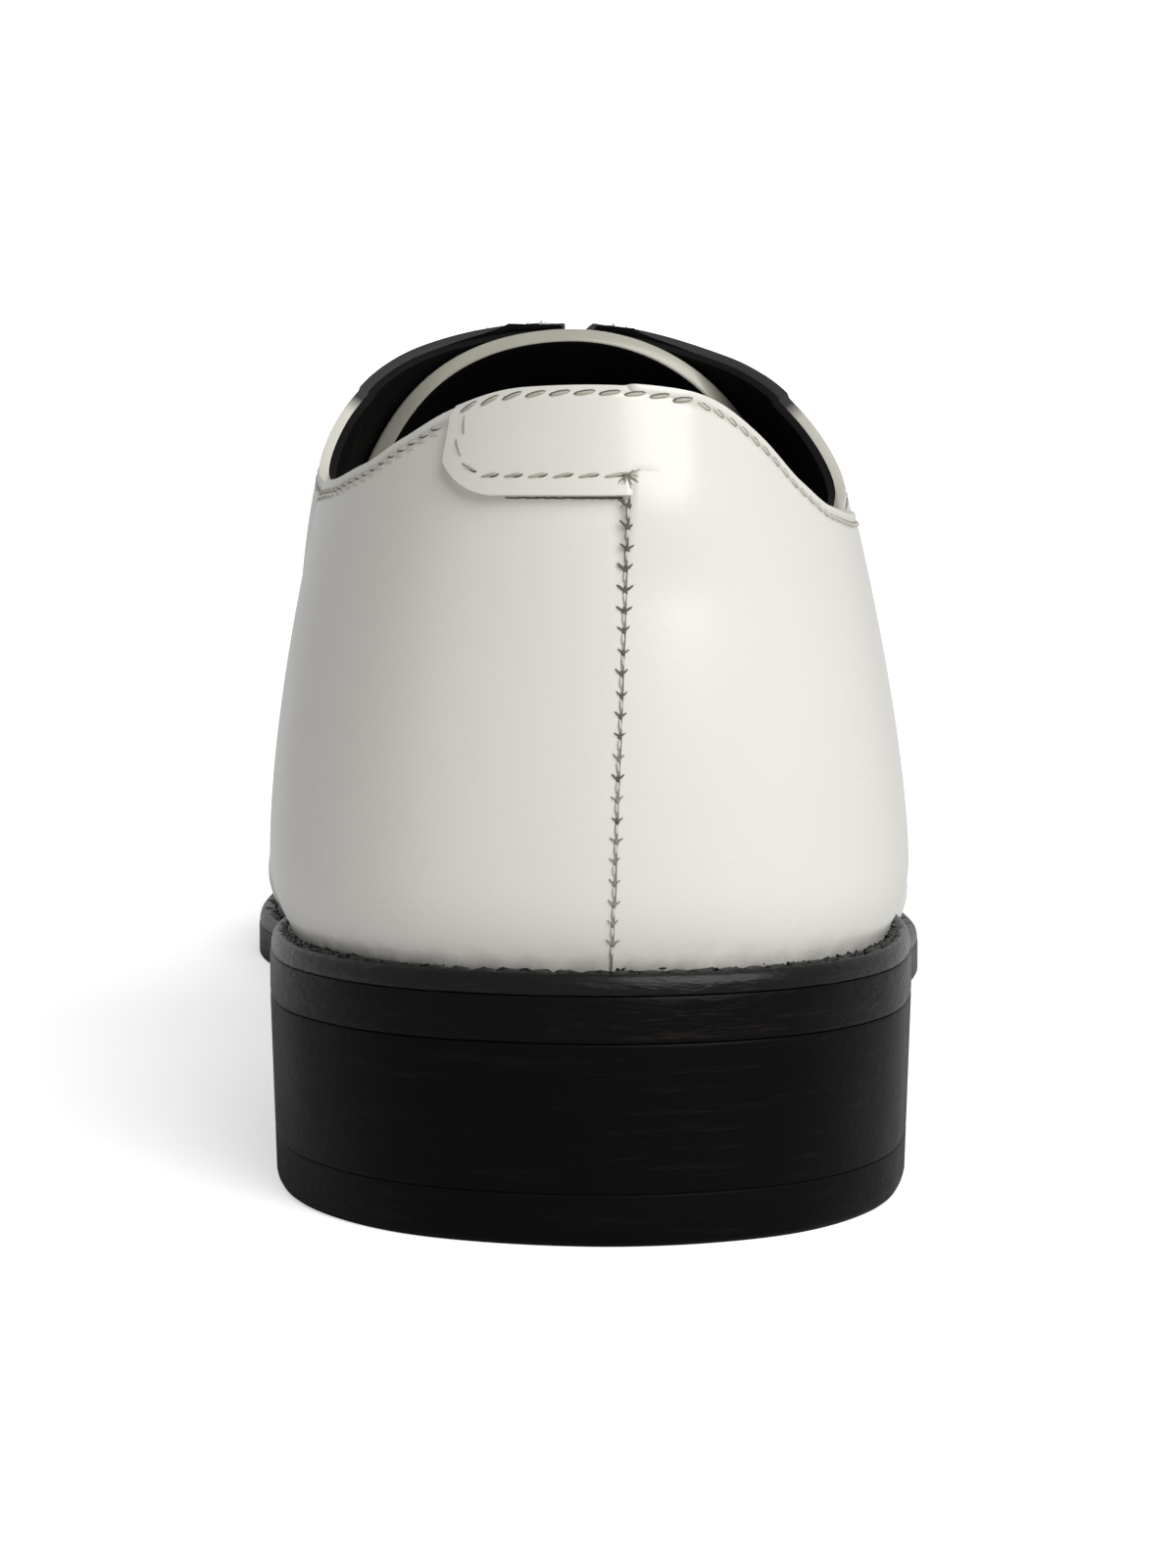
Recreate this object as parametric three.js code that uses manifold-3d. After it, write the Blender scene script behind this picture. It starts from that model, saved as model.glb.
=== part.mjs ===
// A cap toe oxford, the right shoe, built from its separate pieces. Millimetres, +Z up, +Y towards the toe,
// +X to the outer (lateral) side of the foot. The origin is on the floor under the centre of the heel.
import * as THREE from 'three';
import { mergeVertices } from 'three/addons/utils/BufferGeometryUtils.js';
import Module from 'manifold-3d';

const wasm = await Module();
wasm.setup();

// Driving dimensions of the bottom
const SOLE_LENGTH = 305; // back of the heel to the tip of the welt
const HEEL_LENGTH = 71; // back of the sole to the breast of the heel
const HEEL_CENTRE = HEEL_LENGTH / 2; // where the origin lies
const BALL_BREADTH = 102.5; // outsole across the joints
const WAIST_BREADTH = 68; // outsole across the arch
const HEEL_BREADTH = 69.2; // outsole across the heel
const TOP_LIFT = 5.2; // rubber piece that touches the floor
const HEEL_STACK = 14.9; // leather block of the heel
const OUTSOLE = 4.6;
const WELT = 1.9;
const TOE_SPRING = 12; // rise of the sole's underside at the toe
const HEEL_TAPER = 0.6; // how far the heel draws in, from its seat to the floor
const BREAST_CURVE = 3; // how far the heel's breast curves in
const HEEL_LEDGE = 2.6; // welt that shows outside the upper at the heel
const BALL_LEDGE = 4.8; // at the joints
const TOE_LEDGE = 8; // and round the toe, under the layers of the toe cap
const WELT_STEP = 0.4; // outsole that shows outside the welt

// Driving dimensions of the upper
const BACK_HEIGHT = 57.2; // welt to the topline at the back
const LATERAL_HEIGHT = 46; // welt to the lowest place of the topline, outer side
const MEDIAL_HEIGHT = 49.5; // the same on the inner side
const INSTEP_HEIGHT = 79.3; // welt to the top of the facings
const TOE_HEIGHT = 29; // welt to the crest of the toe cap
const WALL = 2.2; // leather and lining
const OVERLAY = 1.2; // one more layer of leather
const TONGUE = 2.2;
const TONGUE_BREADTH = 56;
const TONGUE_FOOT = 34; // its breadth under the vamp
const TONGUE_TUCK = 9; // tongue that lies under the vamp
const TONGUE_RISE = 2; // tongue that stands out above the facings
const INSOLE = 3;
const FACING_TOP = 0.3984 * SOLE_LENGTH; // back of the sole to the top of the facings
const THROAT = 0.5836 * SOLE_LENGTH; // back of the sole to the foot of the facings
const FACING_GAP = 1.6; // between the two facings
const CAP_LINE = 0.7738 * SOLE_LENGTH; // back of the sole to the toe cap's seam, at the crest
const CAP_BOW = 5; // how far the seam runs back at the sides
const VAMP_LINE = THROAT + 3; // back of the sole to the vamp's seam, at the crest
const TAB_REACH = 13.8; // heel tab, from the heel's centre line to its inner end
const SEAM_OFFSET = 4; // back seam, outwards from the heel's centre line
const TAB_HEIGHT = 11.2; // heel tab, from the topline at the back to its lower edge
const TAB_CORNER = 4; // radius of its inner corner
const TAB_FADE = 15; // length over which it runs out into the outer side
const LATERAL_CORNER = 6; // radius at the top of the outer facing
const MEDIAL_CORNER = 2; // and of the inner one
const CORNER_START = 2; // how far behind the top of the facings these corners begin
const EYELET_PAIRS = 5;
const EYELET_RADIUS = 1.5;
const EYELET_INSET = 11; // eyelet to the edge of its facing
const EYELET_MARGIN = 8; // first and last eyelet to the ends of the facings
const LACE_RADIUS = 1.15;
const CLEARANCE = 0.3; // between pieces that meet

// Fineness of the faceted surfaces
const COLUMNS = 36; // from heel to toe on each side
const ROWS = 11; // from welt to crest
const PROFILE_STEPS = 34;
const OUTLINE_STEPS = 84;
const CREST_STEPS = 60;

const HEEL_HEIGHT = TOP_LIFT + HEEL_STACK;
const FAR = SOLE_LENGTH; // beyond every face, for cutting tools

// Outline of the outsole, round the shoe from the back of the heel. along: share of the sole's length.
// across: distance from the heel's centre line, outwards positive.
const OUTLINE = [
  { along: 0.0, across: 0.04 * HEEL_BREADTH },
  { along: 0.018, across: 0.29 * HEEL_BREADTH },
  { along: 0.058, across: 0.435 * HEEL_BREADTH },
  { along: 0.12, across: 0.502 * HEEL_BREADTH },
  { along: 0.21, across: 0.515 * HEEL_BREADTH },
  { along: 0.31, across: 0.525 * WAIST_BREADTH },
  { along: 0.4, across: 0.57 * WAIST_BREADTH },
  { along: 0.485, across: 0.405 * BALL_BREADTH },
  { along: 0.56, across: 0.438 * BALL_BREADTH },
  { along: 0.62, across: 0.481 * BALL_BREADTH },
  { along: 0.665, across: 0.497 * BALL_BREADTH },
  { along: 0.725, across: 0.481 * BALL_BREADTH },
  { along: 0.795, across: 0.42 * BALL_BREADTH },
  { along: 0.87, across: 0.334 * BALL_BREADTH },
  { along: 0.935, across: 0.235 * BALL_BREADTH },
  { along: 0.982, across: 0.11 * BALL_BREADTH },
  { along: 1.0, across: -0.05 * BALL_BREADTH },
  { along: 0.984, across: -0.2 * BALL_BREADTH },
  { along: 0.942, across: -0.308 * BALL_BREADTH },
  { along: 0.885, across: -0.395 * BALL_BREADTH },
  { along: 0.825, across: -0.457 * BALL_BREADTH },
  { along: 0.765, across: -0.497 * BALL_BREADTH },
  { along: 0.71, across: -0.503 * BALL_BREADTH },
  { along: 0.65, across: -0.458 * BALL_BREADTH },
  { along: 0.585, across: -0.4 * BALL_BREADTH },
  { along: 0.505, across: -0.347 * BALL_BREADTH },
  { along: 0.42, across: -0.475 * WAIST_BREADTH },
  { along: 0.32, across: -0.455 * WAIST_BREADTH },
  { along: 0.22, across: -0.482 * HEEL_BREADTH },
  { along: 0.125, across: -0.49 * HEEL_BREADTH },
  { along: 0.062, across: -0.42 * HEEL_BREADTH },
  { along: 0.018, across: -0.25 * HEEL_BREADTH },
];

// Underside of the outsole. heel: share of the heel's height. spring: share of the toe spring.
const UNDERSIDE = [
  { along: 0.0, heel: 1.0, spring: 0 },
  { along: 0.11, heel: 0.985, spring: 0 },
  { along: 0.23, heel: 0.92, spring: 0 },
  { along: 0.3, heel: 0.76, spring: 0 },
  { along: 0.37, heel: 0.47, spring: 0 },
  { along: 0.44, heel: 0.19, spring: 0 },
  { along: 0.5, heel: 0.035, spring: 0 },
  { along: 0.545, heel: 0, spring: 0 },
  { along: 0.67, heel: 0, spring: 0 },
  { along: 0.75, heel: 0, spring: 0.1 },
  { along: 0.85, heel: 0, spring: 0.4 },
  { along: 0.93, heel: 0, spring: 0.71 },
  { along: 1.0, heel: 0, spring: 1 },
];

// How far the welt stands out of the last's foot
const LEDGE = [
  { along: 0.2, ledge: HEEL_LEDGE },
  { along: 0.55, ledge: BALL_LEDGE },
  { along: 0.72, ledge: BALL_LEDGE },
  { along: 0.92, ledge: TOE_LEDGE },
];

// Sections of the last, from heel to toe. Each is a curve that leaves the welt at "along" and ends on the
// crest. crest: where its end lies along the sole. across: of the crest. height: of the crest above the welt.
// open: how much of the outline's breadth is left at the crest, round the ankle. rise: how far the curve goes
// straight up from the welt. flareOut and flareIn: outwards as it does so, on the outer and inner side.
// drop: how far it comes up to the crest. reachOut and reachIn: how far it comes in to the crest.
const SECTIONS = [
  { along: 0.0, crest: 0.036, across: 0.01 * BALL_BREADTH, height: 1.0 * INSTEP_HEIGHT, open: 0.5,
    rise: 0.26 * INSTEP_HEIGHT, flareOut: 0.045 * HEEL_BREADTH, flareIn: 0.045 * HEEL_BREADTH,
    drop: 0.35 * INSTEP_HEIGHT, reachOut: 0.1 * HEEL_BREADTH, reachIn: 0.1 * HEEL_BREADTH },
  { along: 0.12, crest: 0.13, across: 0.0, height: 1.02 * INSTEP_HEIGHT, open: 0.52,
    rise: 0.2 * INSTEP_HEIGHT, flareOut: 0.03 * HEEL_BREADTH, flareIn: 0.04 * HEEL_BREADTH,
    drop: 0.33 * INSTEP_HEIGHT, reachOut: 0.13 * HEEL_BREADTH, reachIn: 0.15 * HEEL_BREADTH },
  { along: 0.24, crest: 0.225, across: -0.008 * BALL_BREADTH, height: 1.07 * INSTEP_HEIGHT, open: 0.53,
    rise: 0.22 * INSTEP_HEIGHT, flareOut: 0.035 * HEEL_BREADTH, flareIn: 0.055 * HEEL_BREADTH,
    drop: 0.36 * INSTEP_HEIGHT, reachOut: 0.16 * HEEL_BREADTH, reachIn: 0.16 * HEEL_BREADTH },
  { along: 0.33, crest: 0.295, across: -0.012 * BALL_BREADTH, height: 1.11 * INSTEP_HEIGHT, open: 0.38,
    rise: 0.3 * INSTEP_HEIGHT, flareOut: 0.09 * HEEL_BREADTH, flareIn: 0.16 * HEEL_BREADTH,
    drop: 0.22 * INSTEP_HEIGHT, reachOut: 0.28 * HEEL_BREADTH, reachIn: 0.34 * HEEL_BREADTH },
  { along: 0.4, crest: 0.347, across: -0.014 * BALL_BREADTH, height: 1.1 * INSTEP_HEIGHT, open: 0,
    rise: 0.36 * INSTEP_HEIGHT, flareOut: 0.12 * HEEL_BREADTH, flareIn: 0.2 * HEEL_BREADTH,
    drop: 0.02 * INSTEP_HEIGHT, reachOut: 0.45 * HEEL_BREADTH, reachIn: 0.52 * HEEL_BREADTH },
  { along: 0.475, crest: 0.41, across: -0.02 * BALL_BREADTH, height: 0.995 * INSTEP_HEIGHT, open: 0,
    rise: 0.38 * INSTEP_HEIGHT, flareOut: 0.08 * BALL_BREADTH, flareIn: 0.12 * BALL_BREADTH,
    drop: 0, reachOut: 0.285 * BALL_BREADTH, reachIn: 0.34 * BALL_BREADTH },
  { along: 0.56, crest: 0.51, across: -0.035 * BALL_BREADTH, height: 0.8 * INSTEP_HEIGHT, open: 0,
    rise: 0.32 * INSTEP_HEIGHT, flareOut: 0.04 * BALL_BREADTH, flareIn: 0.08 * BALL_BREADTH,
    drop: 0, reachOut: 0.28 * BALL_BREADTH, reachIn: 0.3 * BALL_BREADTH },
  { along: 0.65, crest: 0.62, across: -0.05 * BALL_BREADTH, height: 0.6 * INSTEP_HEIGHT, open: 0,
    rise: 0.24 * INSTEP_HEIGHT, flareOut: 0.03 * BALL_BREADTH, flareIn: 0.04 * BALL_BREADTH,
    drop: 0, reachOut: 0.29 * BALL_BREADTH, reachIn: 0.29 * BALL_BREADTH },
  { along: 0.75, crest: 0.725, across: -0.055 * BALL_BREADTH, height: 0.46 * INSTEP_HEIGHT, open: 0,
    rise: 0.2 * INSTEP_HEIGHT, flareOut: 0.025 * BALL_BREADTH, flareIn: 0.025 * BALL_BREADTH,
    drop: 0, reachOut: 0.27 * BALL_BREADTH, reachIn: 0.27 * BALL_BREADTH },
  { along: 0.85, crest: 0.81, across: -0.055 * BALL_BREADTH, height: 1.06 * TOE_HEIGHT, open: 0,
    rise: 0.56 * TOE_HEIGHT, flareOut: 0.02 * BALL_BREADTH, flareIn: 0.02 * BALL_BREADTH,
    drop: 0, reachOut: 0.2 * BALL_BREADTH, reachIn: 0.2 * BALL_BREADTH },
  { along: 1.0, crest: 0.875, across: -0.053 * BALL_BREADTH, height: 0.93 * TOE_HEIGHT, open: 0,
    rise: 0.52 * TOE_HEIGHT, flareOut: 0.015 * BALL_BREADTH, flareIn: 0.015 * BALL_BREADTH,
    drop: 0, reachOut: 0.17 * BALL_BREADTH, reachIn: 0.17 * BALL_BREADTH },
];
const TUCK = 2; // how far the upper draws in where it meets the welt
const TUCK_RISE = 8; // height over which it does so

// Topline seen from the side, from back to front. lateral and medial: height above the welt.
const TOPLINE = [
  { along: -0.05, lateral: 1.0 * BACK_HEIGHT, medial: 1.03 * BACK_HEIGHT },
  { along: 0.012, lateral: 0.985 * BACK_HEIGHT, medial: 1.015 * BACK_HEIGHT },
  { along: 0.024, lateral: 0.96 * BACK_HEIGHT, medial: 1.015 * BACK_HEIGHT },
  { along: 0.037, lateral: 0.88 * BACK_HEIGHT, medial: 0.995 * BACK_HEIGHT },
  { along: 0.052, lateral: 0.99 * LATERAL_HEIGHT, medial: 1.1 * MEDIAL_HEIGHT },
  { along: 0.07, lateral: 0.95 * LATERAL_HEIGHT, medial: 1.035 * MEDIAL_HEIGHT },
  { along: 0.1, lateral: 0.945 * LATERAL_HEIGHT, medial: 0.99 * MEDIAL_HEIGHT },
  { along: 0.17, lateral: 0.965 * LATERAL_HEIGHT, medial: 0.98 * MEDIAL_HEIGHT },
  { along: 0.245, lateral: 1.0 * LATERAL_HEIGHT, medial: 1.0 * MEDIAL_HEIGHT },
  { along: 0.3, lateral: 0.645 * INSTEP_HEIGHT, medial: 0.67 * INSTEP_HEIGHT },
  { along: 0.345, lateral: 0.81 * INSTEP_HEIGHT, medial: 0.825 * INSTEP_HEIGHT },
  { along: 0.38, lateral: 0.925 * INSTEP_HEIGHT, medial: 0.95 * INSTEP_HEIGHT },
  { along: 0.397, lateral: 0.99 * INSTEP_HEIGHT, medial: 1.05 * INSTEP_HEIGHT },
  { along: 0.415, lateral: 1.4 * INSTEP_HEIGHT, medial: 1.4 * INSTEP_HEIGHT },
];

// Back edge of the vamp seen from the side, from the crest down to the welt. height: above the welt.
const VAMP_SEAM = [
  { along: VAMP_LINE / SOLE_LENGTH, height: 1.5 * INSTEP_HEIGHT },
  { along: VAMP_LINE / SOLE_LENGTH, height: 0.62 * INSTEP_HEIGHT },
  { along: 0.585, height: 0.53 * INSTEP_HEIGHT },
  { along: 0.545, height: 0.41 * INSTEP_HEIGHT },
  { along: 0.485, height: 0.26 * INSTEP_HEIGHT },
  { along: 0.43, height: 0.13 * INSTEP_HEIGHT },
  { along: 0.395, height: -0.1 * INSTEP_HEIGHT },
];

const MATERIALS = {
  upperLeather: new THREE.MeshStandardMaterial({ color: 0xe6e3d8, roughness: 0.28, metalness: 0 }),
  tongueLeather: new THREE.MeshStandardMaterial({ color: 0xdedbd0, roughness: 0.4, metalness: 0 }),
  soleLeather: new THREE.MeshStandardMaterial({ color: 0x151415, roughness: 0.36, metalness: 0 }),
  liningLeather: new THREE.MeshStandardMaterial({ color: 0x0c0b0a, roughness: 0.6, metalness: 0 }),
  rubber: new THREE.MeshStandardMaterial({ color: 0x111111, roughness: 0.55, metalness: 0 }),
  lace: new THREE.MeshStandardMaterial({ color: 0xdcd9cd, roughness: 0.75, metalness: 0 }),
};

// The value of a table's column at a place along the sole, on a smooth curve that never overshoots a row.
function lookup(table, column, along) {
  const last = table.length - 1;
  if (along <= table[0].along) return table[0][column];
  if (along >= table[last].along) return table[last][column];
  let i = 0;
  while (table[i + 1].along < along) i++;
  const step = (k) => table[k + 1].along - table[k].along;
  const slope = (k) => (table[k + 1][column] - table[k][column]) / step(k);
  const tangent = (k) => {
    if (k === 0 || k === last) return slope(Math.min(k, last - 1));
    const before = slope(k - 1);
    const after = slope(k);
    return before * after <= 0 ? 0 : (2 * before * after) / (before + after);
  };
  const t = (along - table[i].along) / step(i);
  const gain = slope(i) * step(i);
  const leave = tangent(i) * step(i) - gain;
  const arrive = gain - tangent(i + 1) * step(i);
  return table[i][column] + gain * t + t * (1 - t) * (leave * (1 - t) + arrive * t);
}

const place = (along) => along * SOLE_LENGTH - HEEL_CENTRE;
const share = (y) => (y + HEEL_CENTRE) / SOLE_LENGTH;

// Heights of the bottom's faces at a place y
const undersideAt = (y) =>
  HEEL_HEIGHT * lookup(UNDERSIDE, 'heel', share(y)) + TOE_SPRING * lookup(UNDERSIDE, 'spring', share(y));
const outsoleTopAt = (y) => undersideAt(y) + OUTSOLE;
const weltTopAt = (y) => outsoleTopAt(y) + CLEARANCE + WELT;

// The outline as a dense closed curve, and its two halves from heel to toe
const outlineCurve = new THREE.CatmullRomCurve3(
  OUTLINE.map((row) => new THREE.Vector3(row.across, place(row.along), 0)),
  true,
  'centripetal',
);
const FINE = 15 * OUTLINE_STEPS;
const outlinePoints = outlineCurve.getPoints(FINE).slice(0, FINE);
const tipIndex = outlinePoints.reduce((best, p, i) => (p.y > outlinePoints[best].y ? i : best), 0);
const backIndex = outlinePoints.reduce((best, p, i) => (p.y < outlinePoints[best].y ? i : best), 0);

// One half of the outline: lateral (side 1) runs forwards round the curve, medial (side -1) backwards
function halfOutline(side) {
  const half = [];
  for (let i = backIndex; i !== tipIndex; i = (i + side + FINE) % FINE) half.push(outlinePoints[i]);
  half.push(outlinePoints[tipIndex]);
  return half;
}
const halves = { 1: halfOutline(1), [-1]: halfOutline(-1) };

// A point of the outline and the outward direction there, at a share of the way from back to tip
function outlineAt(side, along) {
  const half = halves[side];
  const back = half[0].y;
  const y = back + along * (half[half.length - 1].y - back);
  let i = 1;
  while (i < half.length - 1 && half[i].y < y) i++;
  const a = half[i - 1];
  const b = half[i];
  const t = (y - a.y) / (b.y - a.y);
  const point = new THREE.Vector3().lerpVectors(a, b, THREE.MathUtils.clamp(t, 0, 1));
  const before = half[Math.max(0, i - 3)];
  const after = half[Math.min(half.length - 1, i + 2)];
  let out = new THREE.Vector3(after.y - before.y, before.x - after.x, 0).multiplyScalar(side).normalize();
  if (along <= 0) out = new THREE.Vector3(0, -1, 0);
  if (along >= 1) out = new THREE.Vector3(0, 1, 0);
  return { point, out };
}

const ledgeAt = (along) => lookup(LEDGE, 'ledge', along);

// Where the crest is, for a section that leaves the welt at a share of the way from back to tip
function crestAt(along) {
  const y = place(lookup(SECTIONS, 'crest', along));
  return new THREE.Vector3(
    lookup(SECTIONS, 'across', along),
    y,
    weltTopAt(y) + lookup(SECTIONS, 'height', along),
  );
}

// The curve of one section from welt to crest, as a cubic curve
function sectionAt(side, along) {
  const { point, out } = outlineAt(side, along);
  const foot = point.clone().addScaledVector(out, TUCK - ledgeAt(along));
  foot.z = weltTopAt(foot.y);
  const crest = crestAt(along);
  const ahead = crestAt(Math.min(1, along + 0.01));
  const behind = crestAt(Math.max(0, along - 0.01));
  const open = lookup(SECTIONS, 'open', along);
  const slope = open > 0 ? 0 : (ahead.z - behind.z) / (ahead.y - behind.y);
  crest.x += open * point.x;
  const flare = lookup(SECTIONS, side > 0 ? 'flareOut' : 'flareIn', along);
  const reach = lookup(SECTIONS, side > 0 ? 'reachOut' : 'reachIn', along);
  return {
    out,
    curve: new THREE.CubicBezierCurve3(
      foot,
      foot
        .clone()
        .addScaledVector(out, flare)
        .add(new THREE.Vector3(0, 0, lookup(SECTIONS, 'rise', along))),
      crest
        .clone()
        .add(new THREE.Vector3(out.x, out.y, slope * out.y).multiplyScalar(reach))
        .add(new THREE.Vector3(0, 0, -lookup(SECTIONS, 'drop', along))),
      crest,
    ),
  };
}

// A point of the last on a section, from its foot (v = 0) to the crest (v = 1), drawn in near the welt
function lastPoint(section, v) {
  const point = section.curve.getPoint(v);
  const low = 1 - THREE.MathUtils.clamp((point.z - section.curve.v0.z) / TUCK_RISE, 0, 1);
  return point.addScaledVector(section.out, -TUCK * low * low);
}

// The skin of the last as a grid. Column 0 is the back of the heel, and the columns run forwards along the
// lateral side to the tip of the toe and back along the medial side. Row 0 is a skirt down to the outsole,
// and rows 1 to ROWS + 1 go from the welt to the crest. Where the crest is closed, the two sides share it.
const COLUMN_COUNT = 2 * COLUMNS;
const ROW_COUNT = ROWS + 2;
const sideOf = (column) => (column <= COLUMNS ? 1 : -1);
const alongOf = (column) => {
  const step = Math.min(column, COLUMN_COUNT - column);
  return (1 - Math.cos((Math.PI * step) / COLUMNS)) / 2;
};
const closedAt = (column) => lookup(SECTIONS, 'open', alongOf(column)) === 0;

function vertexId(column, row) {
  const c = column % COLUMN_COUNT;
  const shared = row === ROW_COUNT - 1 && c > COLUMNS && closedAt(c);
  return (shared ? COLUMN_COUNT - c : c) * ROW_COUNT + row;
}

function buildSkin() {
  const position = new Float32Array(COLUMN_COUNT * ROW_COUNT * 3);
  for (let c = 0; c < COLUMN_COUNT; c++) {
    const section = sectionAt(sideOf(c), alongOf(c));
    for (let row = 0; row < ROW_COUNT; row++) {
      const point = lastPoint(section, Math.max(0, row - 1) / ROWS);
      if (row === 0) point.z = outsoleTopAt(point.y) + CLEARANCE;
      point.toArray(position, (c * ROW_COUNT + row) * 3);
    }
  }
  const faces = [];
  for (let c = 0; c < COLUMN_COUNT; c++)
    for (let row = 0; row < ROW_COUNT - 1; row++) {
      const [a, b] = [vertexId(c, row), vertexId(c + 1, row)];
      const [d, e] = [vertexId(c, row + 1), vertexId(c + 1, row + 1)];
      faces.push(a, b, e, a, e, d);
    }
  const geometry = new THREE.BufferGeometry();
  geometry.setAttribute('position', new THREE.BufferAttribute(position, 3));
  geometry.setIndex(faces);
  geometry.computeVertexNormals();
  return geometry;
}
const skin = buildSkin();

// The skin with every point moved outwards by offset, which is a length or a function of the point, and its
// foot let down by drop
function skinAt(offset, drop = 0) {
  const offsetAt = typeof offset === 'function' ? offset : () => offset;
  const base = skin.attributes.position;
  const position = [];
  for (let i = 0; i < base.count; i++) {
    const point = new THREE.Vector3().fromBufferAttribute(base, i);
    const normal = new THREE.Vector3().fromBufferAttribute(skin.attributes.normal, i);
    point.addScaledVector(normal, offsetAt(point));
    if (i % ROW_COUNT === 0) point.z = base.getZ(i) - drop;
    position.push(...point);
  }
  const geometry = new THREE.BufferGeometry();
  geometry.setAttribute('position', new THREE.Float32BufferAttribute(position, 3));
  geometry.setIndex([...skin.index.array]);
  return geometry;
}

// The same as one closed solid
function lastForm(offset, drop = 0) {
  const geometry = skinAt(offset, drop);
  const faces = [...geometry.index.array];
  for (let c = 0; c < COLUMNS; c++) {
    const [a, b] = [vertexId(c, 0), vertexId(c + 1, 0)];
    const [d, e] = [vertexId(COLUMN_COUNT - c, 0), vertexId(COLUMN_COUNT - c - 1, 0)];
    faces.push(a, e, b, a, d, e);
    if (closedAt(c)) continue;
    const top = ROW_COUNT - 1;
    const [f, g] = [vertexId(c, top), vertexId(c + 1, top)];
    const [h, k] = [vertexId(COLUMN_COUNT - c, top), vertexId(COLUMN_COUNT - c - 1, top)];
    faces.push(f, g, k, f, k, h);
  }
  geometry.setIndex(faces);
  return solidOf(geometry);
}

// A closed geometry as a solid that can be cut and joined
function solidOf(geometry) {
  const bare = geometry.index ? geometry.toNonIndexed() : geometry.clone();
  bare.deleteAttribute('normal');
  bare.deleteAttribute('uv');
  const merged = mergeVertices(bare, 1e-4);
  const corners = merged.index.array;
  const triVerts = [];
  for (let i = 0; i < corners.length; i += 3) {
    const [a, b, c] = corners.slice(i, i + 3);
    if (a !== b && b !== c && c !== a) triVerts.push(a, b, c);
  }
  return new wasm.Manifold(
    new wasm.Mesh({
      numProp: 3,
      vertProperties: merged.attributes.position.array,
      triVerts: new Uint32Array(triVerts),
    }),
  );
}

function meshOf(name, solid, material) {
  const { vertProperties, triVerts } = solid.getMesh();
  const geometry = new THREE.BufferGeometry();
  geometry.setAttribute('position', new THREE.BufferAttribute(vertProperties, 3));
  geometry.setIndex(new THREE.BufferAttribute(triVerts, 1));
  const mesh = new THREE.Mesh(geometry, material);
  mesh.name = name;
  return mesh;
}

const shapeOf = (points) => new THREE.Shape(points.map(([a, b]) => new THREE.Vector2(a, b)));
const range = (count, make) => Array.from({ length: count }, (_, i) => make(i));

// A plan outline of [x, y] points, raised between two heights
function planPrism(points, low, high) {
  const geometry = new THREE.ExtrudeGeometry(shapeOf(points), { depth: high - low, bevelEnabled: false });
  return solidOf(geometry.translate(0, 0, low));
}

// A back view of [x, z] points, deepened between two places along the shoe
function backPrism(points, low, high) {
  const geometry = new THREE.ExtrudeGeometry(shapeOf(points), { depth: high - low, bevelEnabled: false });
  return solidOf(geometry.rotateX(Math.PI / 2).translate(0, high, 0));
}

// A side view of [y, z] points, widened between two places across the shoe. The far face may be another view
// with as many points.
function sidePrism(points, low, high, farPoints = points) {
  const geometry = new THREE.ExtrudeGeometry(shapeOf(points), { depth: 1, bevelEnabled: false });
  const position = geometry.attributes.position;
  for (let i = 0; i < position.count; i++) {
    const far = position.getZ(i) > 0.5;
    const k = points.findIndex(([y, z]) => Math.hypot(y - position.getX(i), z - position.getY(i)) < 1e-3);
    const [y, z] = far ? farPoints[k] : points[k];
    position.setXYZ(i, far ? high : low, y, z);
  }
  return solidOf(geometry);
}

// A layer all over the plan between two heights that change along the shoe
function layerBetween(low, high) {
  const along = range(PROFILE_STEPS + 1, (i) => place(THREE.MathUtils.lerp(-0.05, 1.05, i / PROFILE_STEPS)));
  const under = along.map((y) => [y, low(y)]);
  const over = along.map((y) => [y, high(y)]).reverse();
  return sidePrism([...under, ...over], -BALL_BREADTH, BALL_BREADTH);
}

// The outline of the outsole, drawn in by inset, as [x, y] points
function planOutline(inset) {
  const step = FINE / OUTLINE_STEPS;
  return range(OUTLINE_STEPS, (i) => {
    const before = outlinePoints[(i * step - 1 + FINE) % FINE];
    const after = outlinePoints[(i * step + 1) % FINE];
    const inward = new THREE.Vector2(before.y - after.y, after.x - before.x).normalize();
    const point = outlinePoints[i * step];
    return [point.x + inset * inward.x, point.y + inset * inward.y];
  });
}

// A solid through two rings of as many [x, y] points at two heights
function loft(lower, low, upper, high) {
  const position = [...lower.flatMap(([x, y]) => [x, y, low]), ...upper.flatMap(([x, y]) => [x, y, high])];
  const count = lower.length;
  const faces = [];
  for (let i = 0; i < count; i++) {
    const next = (i + 1) % count;
    faces.push(i, next, count + next, i, count + next, count + i);
  }
  const cap = (ring) => THREE.ShapeUtils.triangulateShape(ring.map(([x, y]) => new THREE.Vector2(x, y)), []);
  for (const [a, b, c] of cap(lower)) faces.push(a, c, b);
  for (const [a, b, c] of cap(upper)) faces.push(count + a, count + b, count + c);
  const geometry = new THREE.BufferGeometry();
  geometry.setAttribute('position', new THREE.Float32BufferAttribute(position, 3));
  geometry.setIndex(faces);
  return solidOf(geometry);
}

// The highest point over a place in plan, on the skin at an offset, with the direction that it faces
const bothSides = new THREE.MeshBasicMaterial({ side: THREE.DoubleSide });
const surfaceAt = (offset) => new THREE.Mesh(skinAt(offset), bothSides);
function highestOn(surface, x, y) {
  const down = new THREE.Raycaster(new THREE.Vector3(x, y, FAR), new THREE.Vector3(0, 0, -1));
  const { point, face } = down.intersectObject(surface)[0];
  return { point, normal: face.normal.clone() };
}

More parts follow.
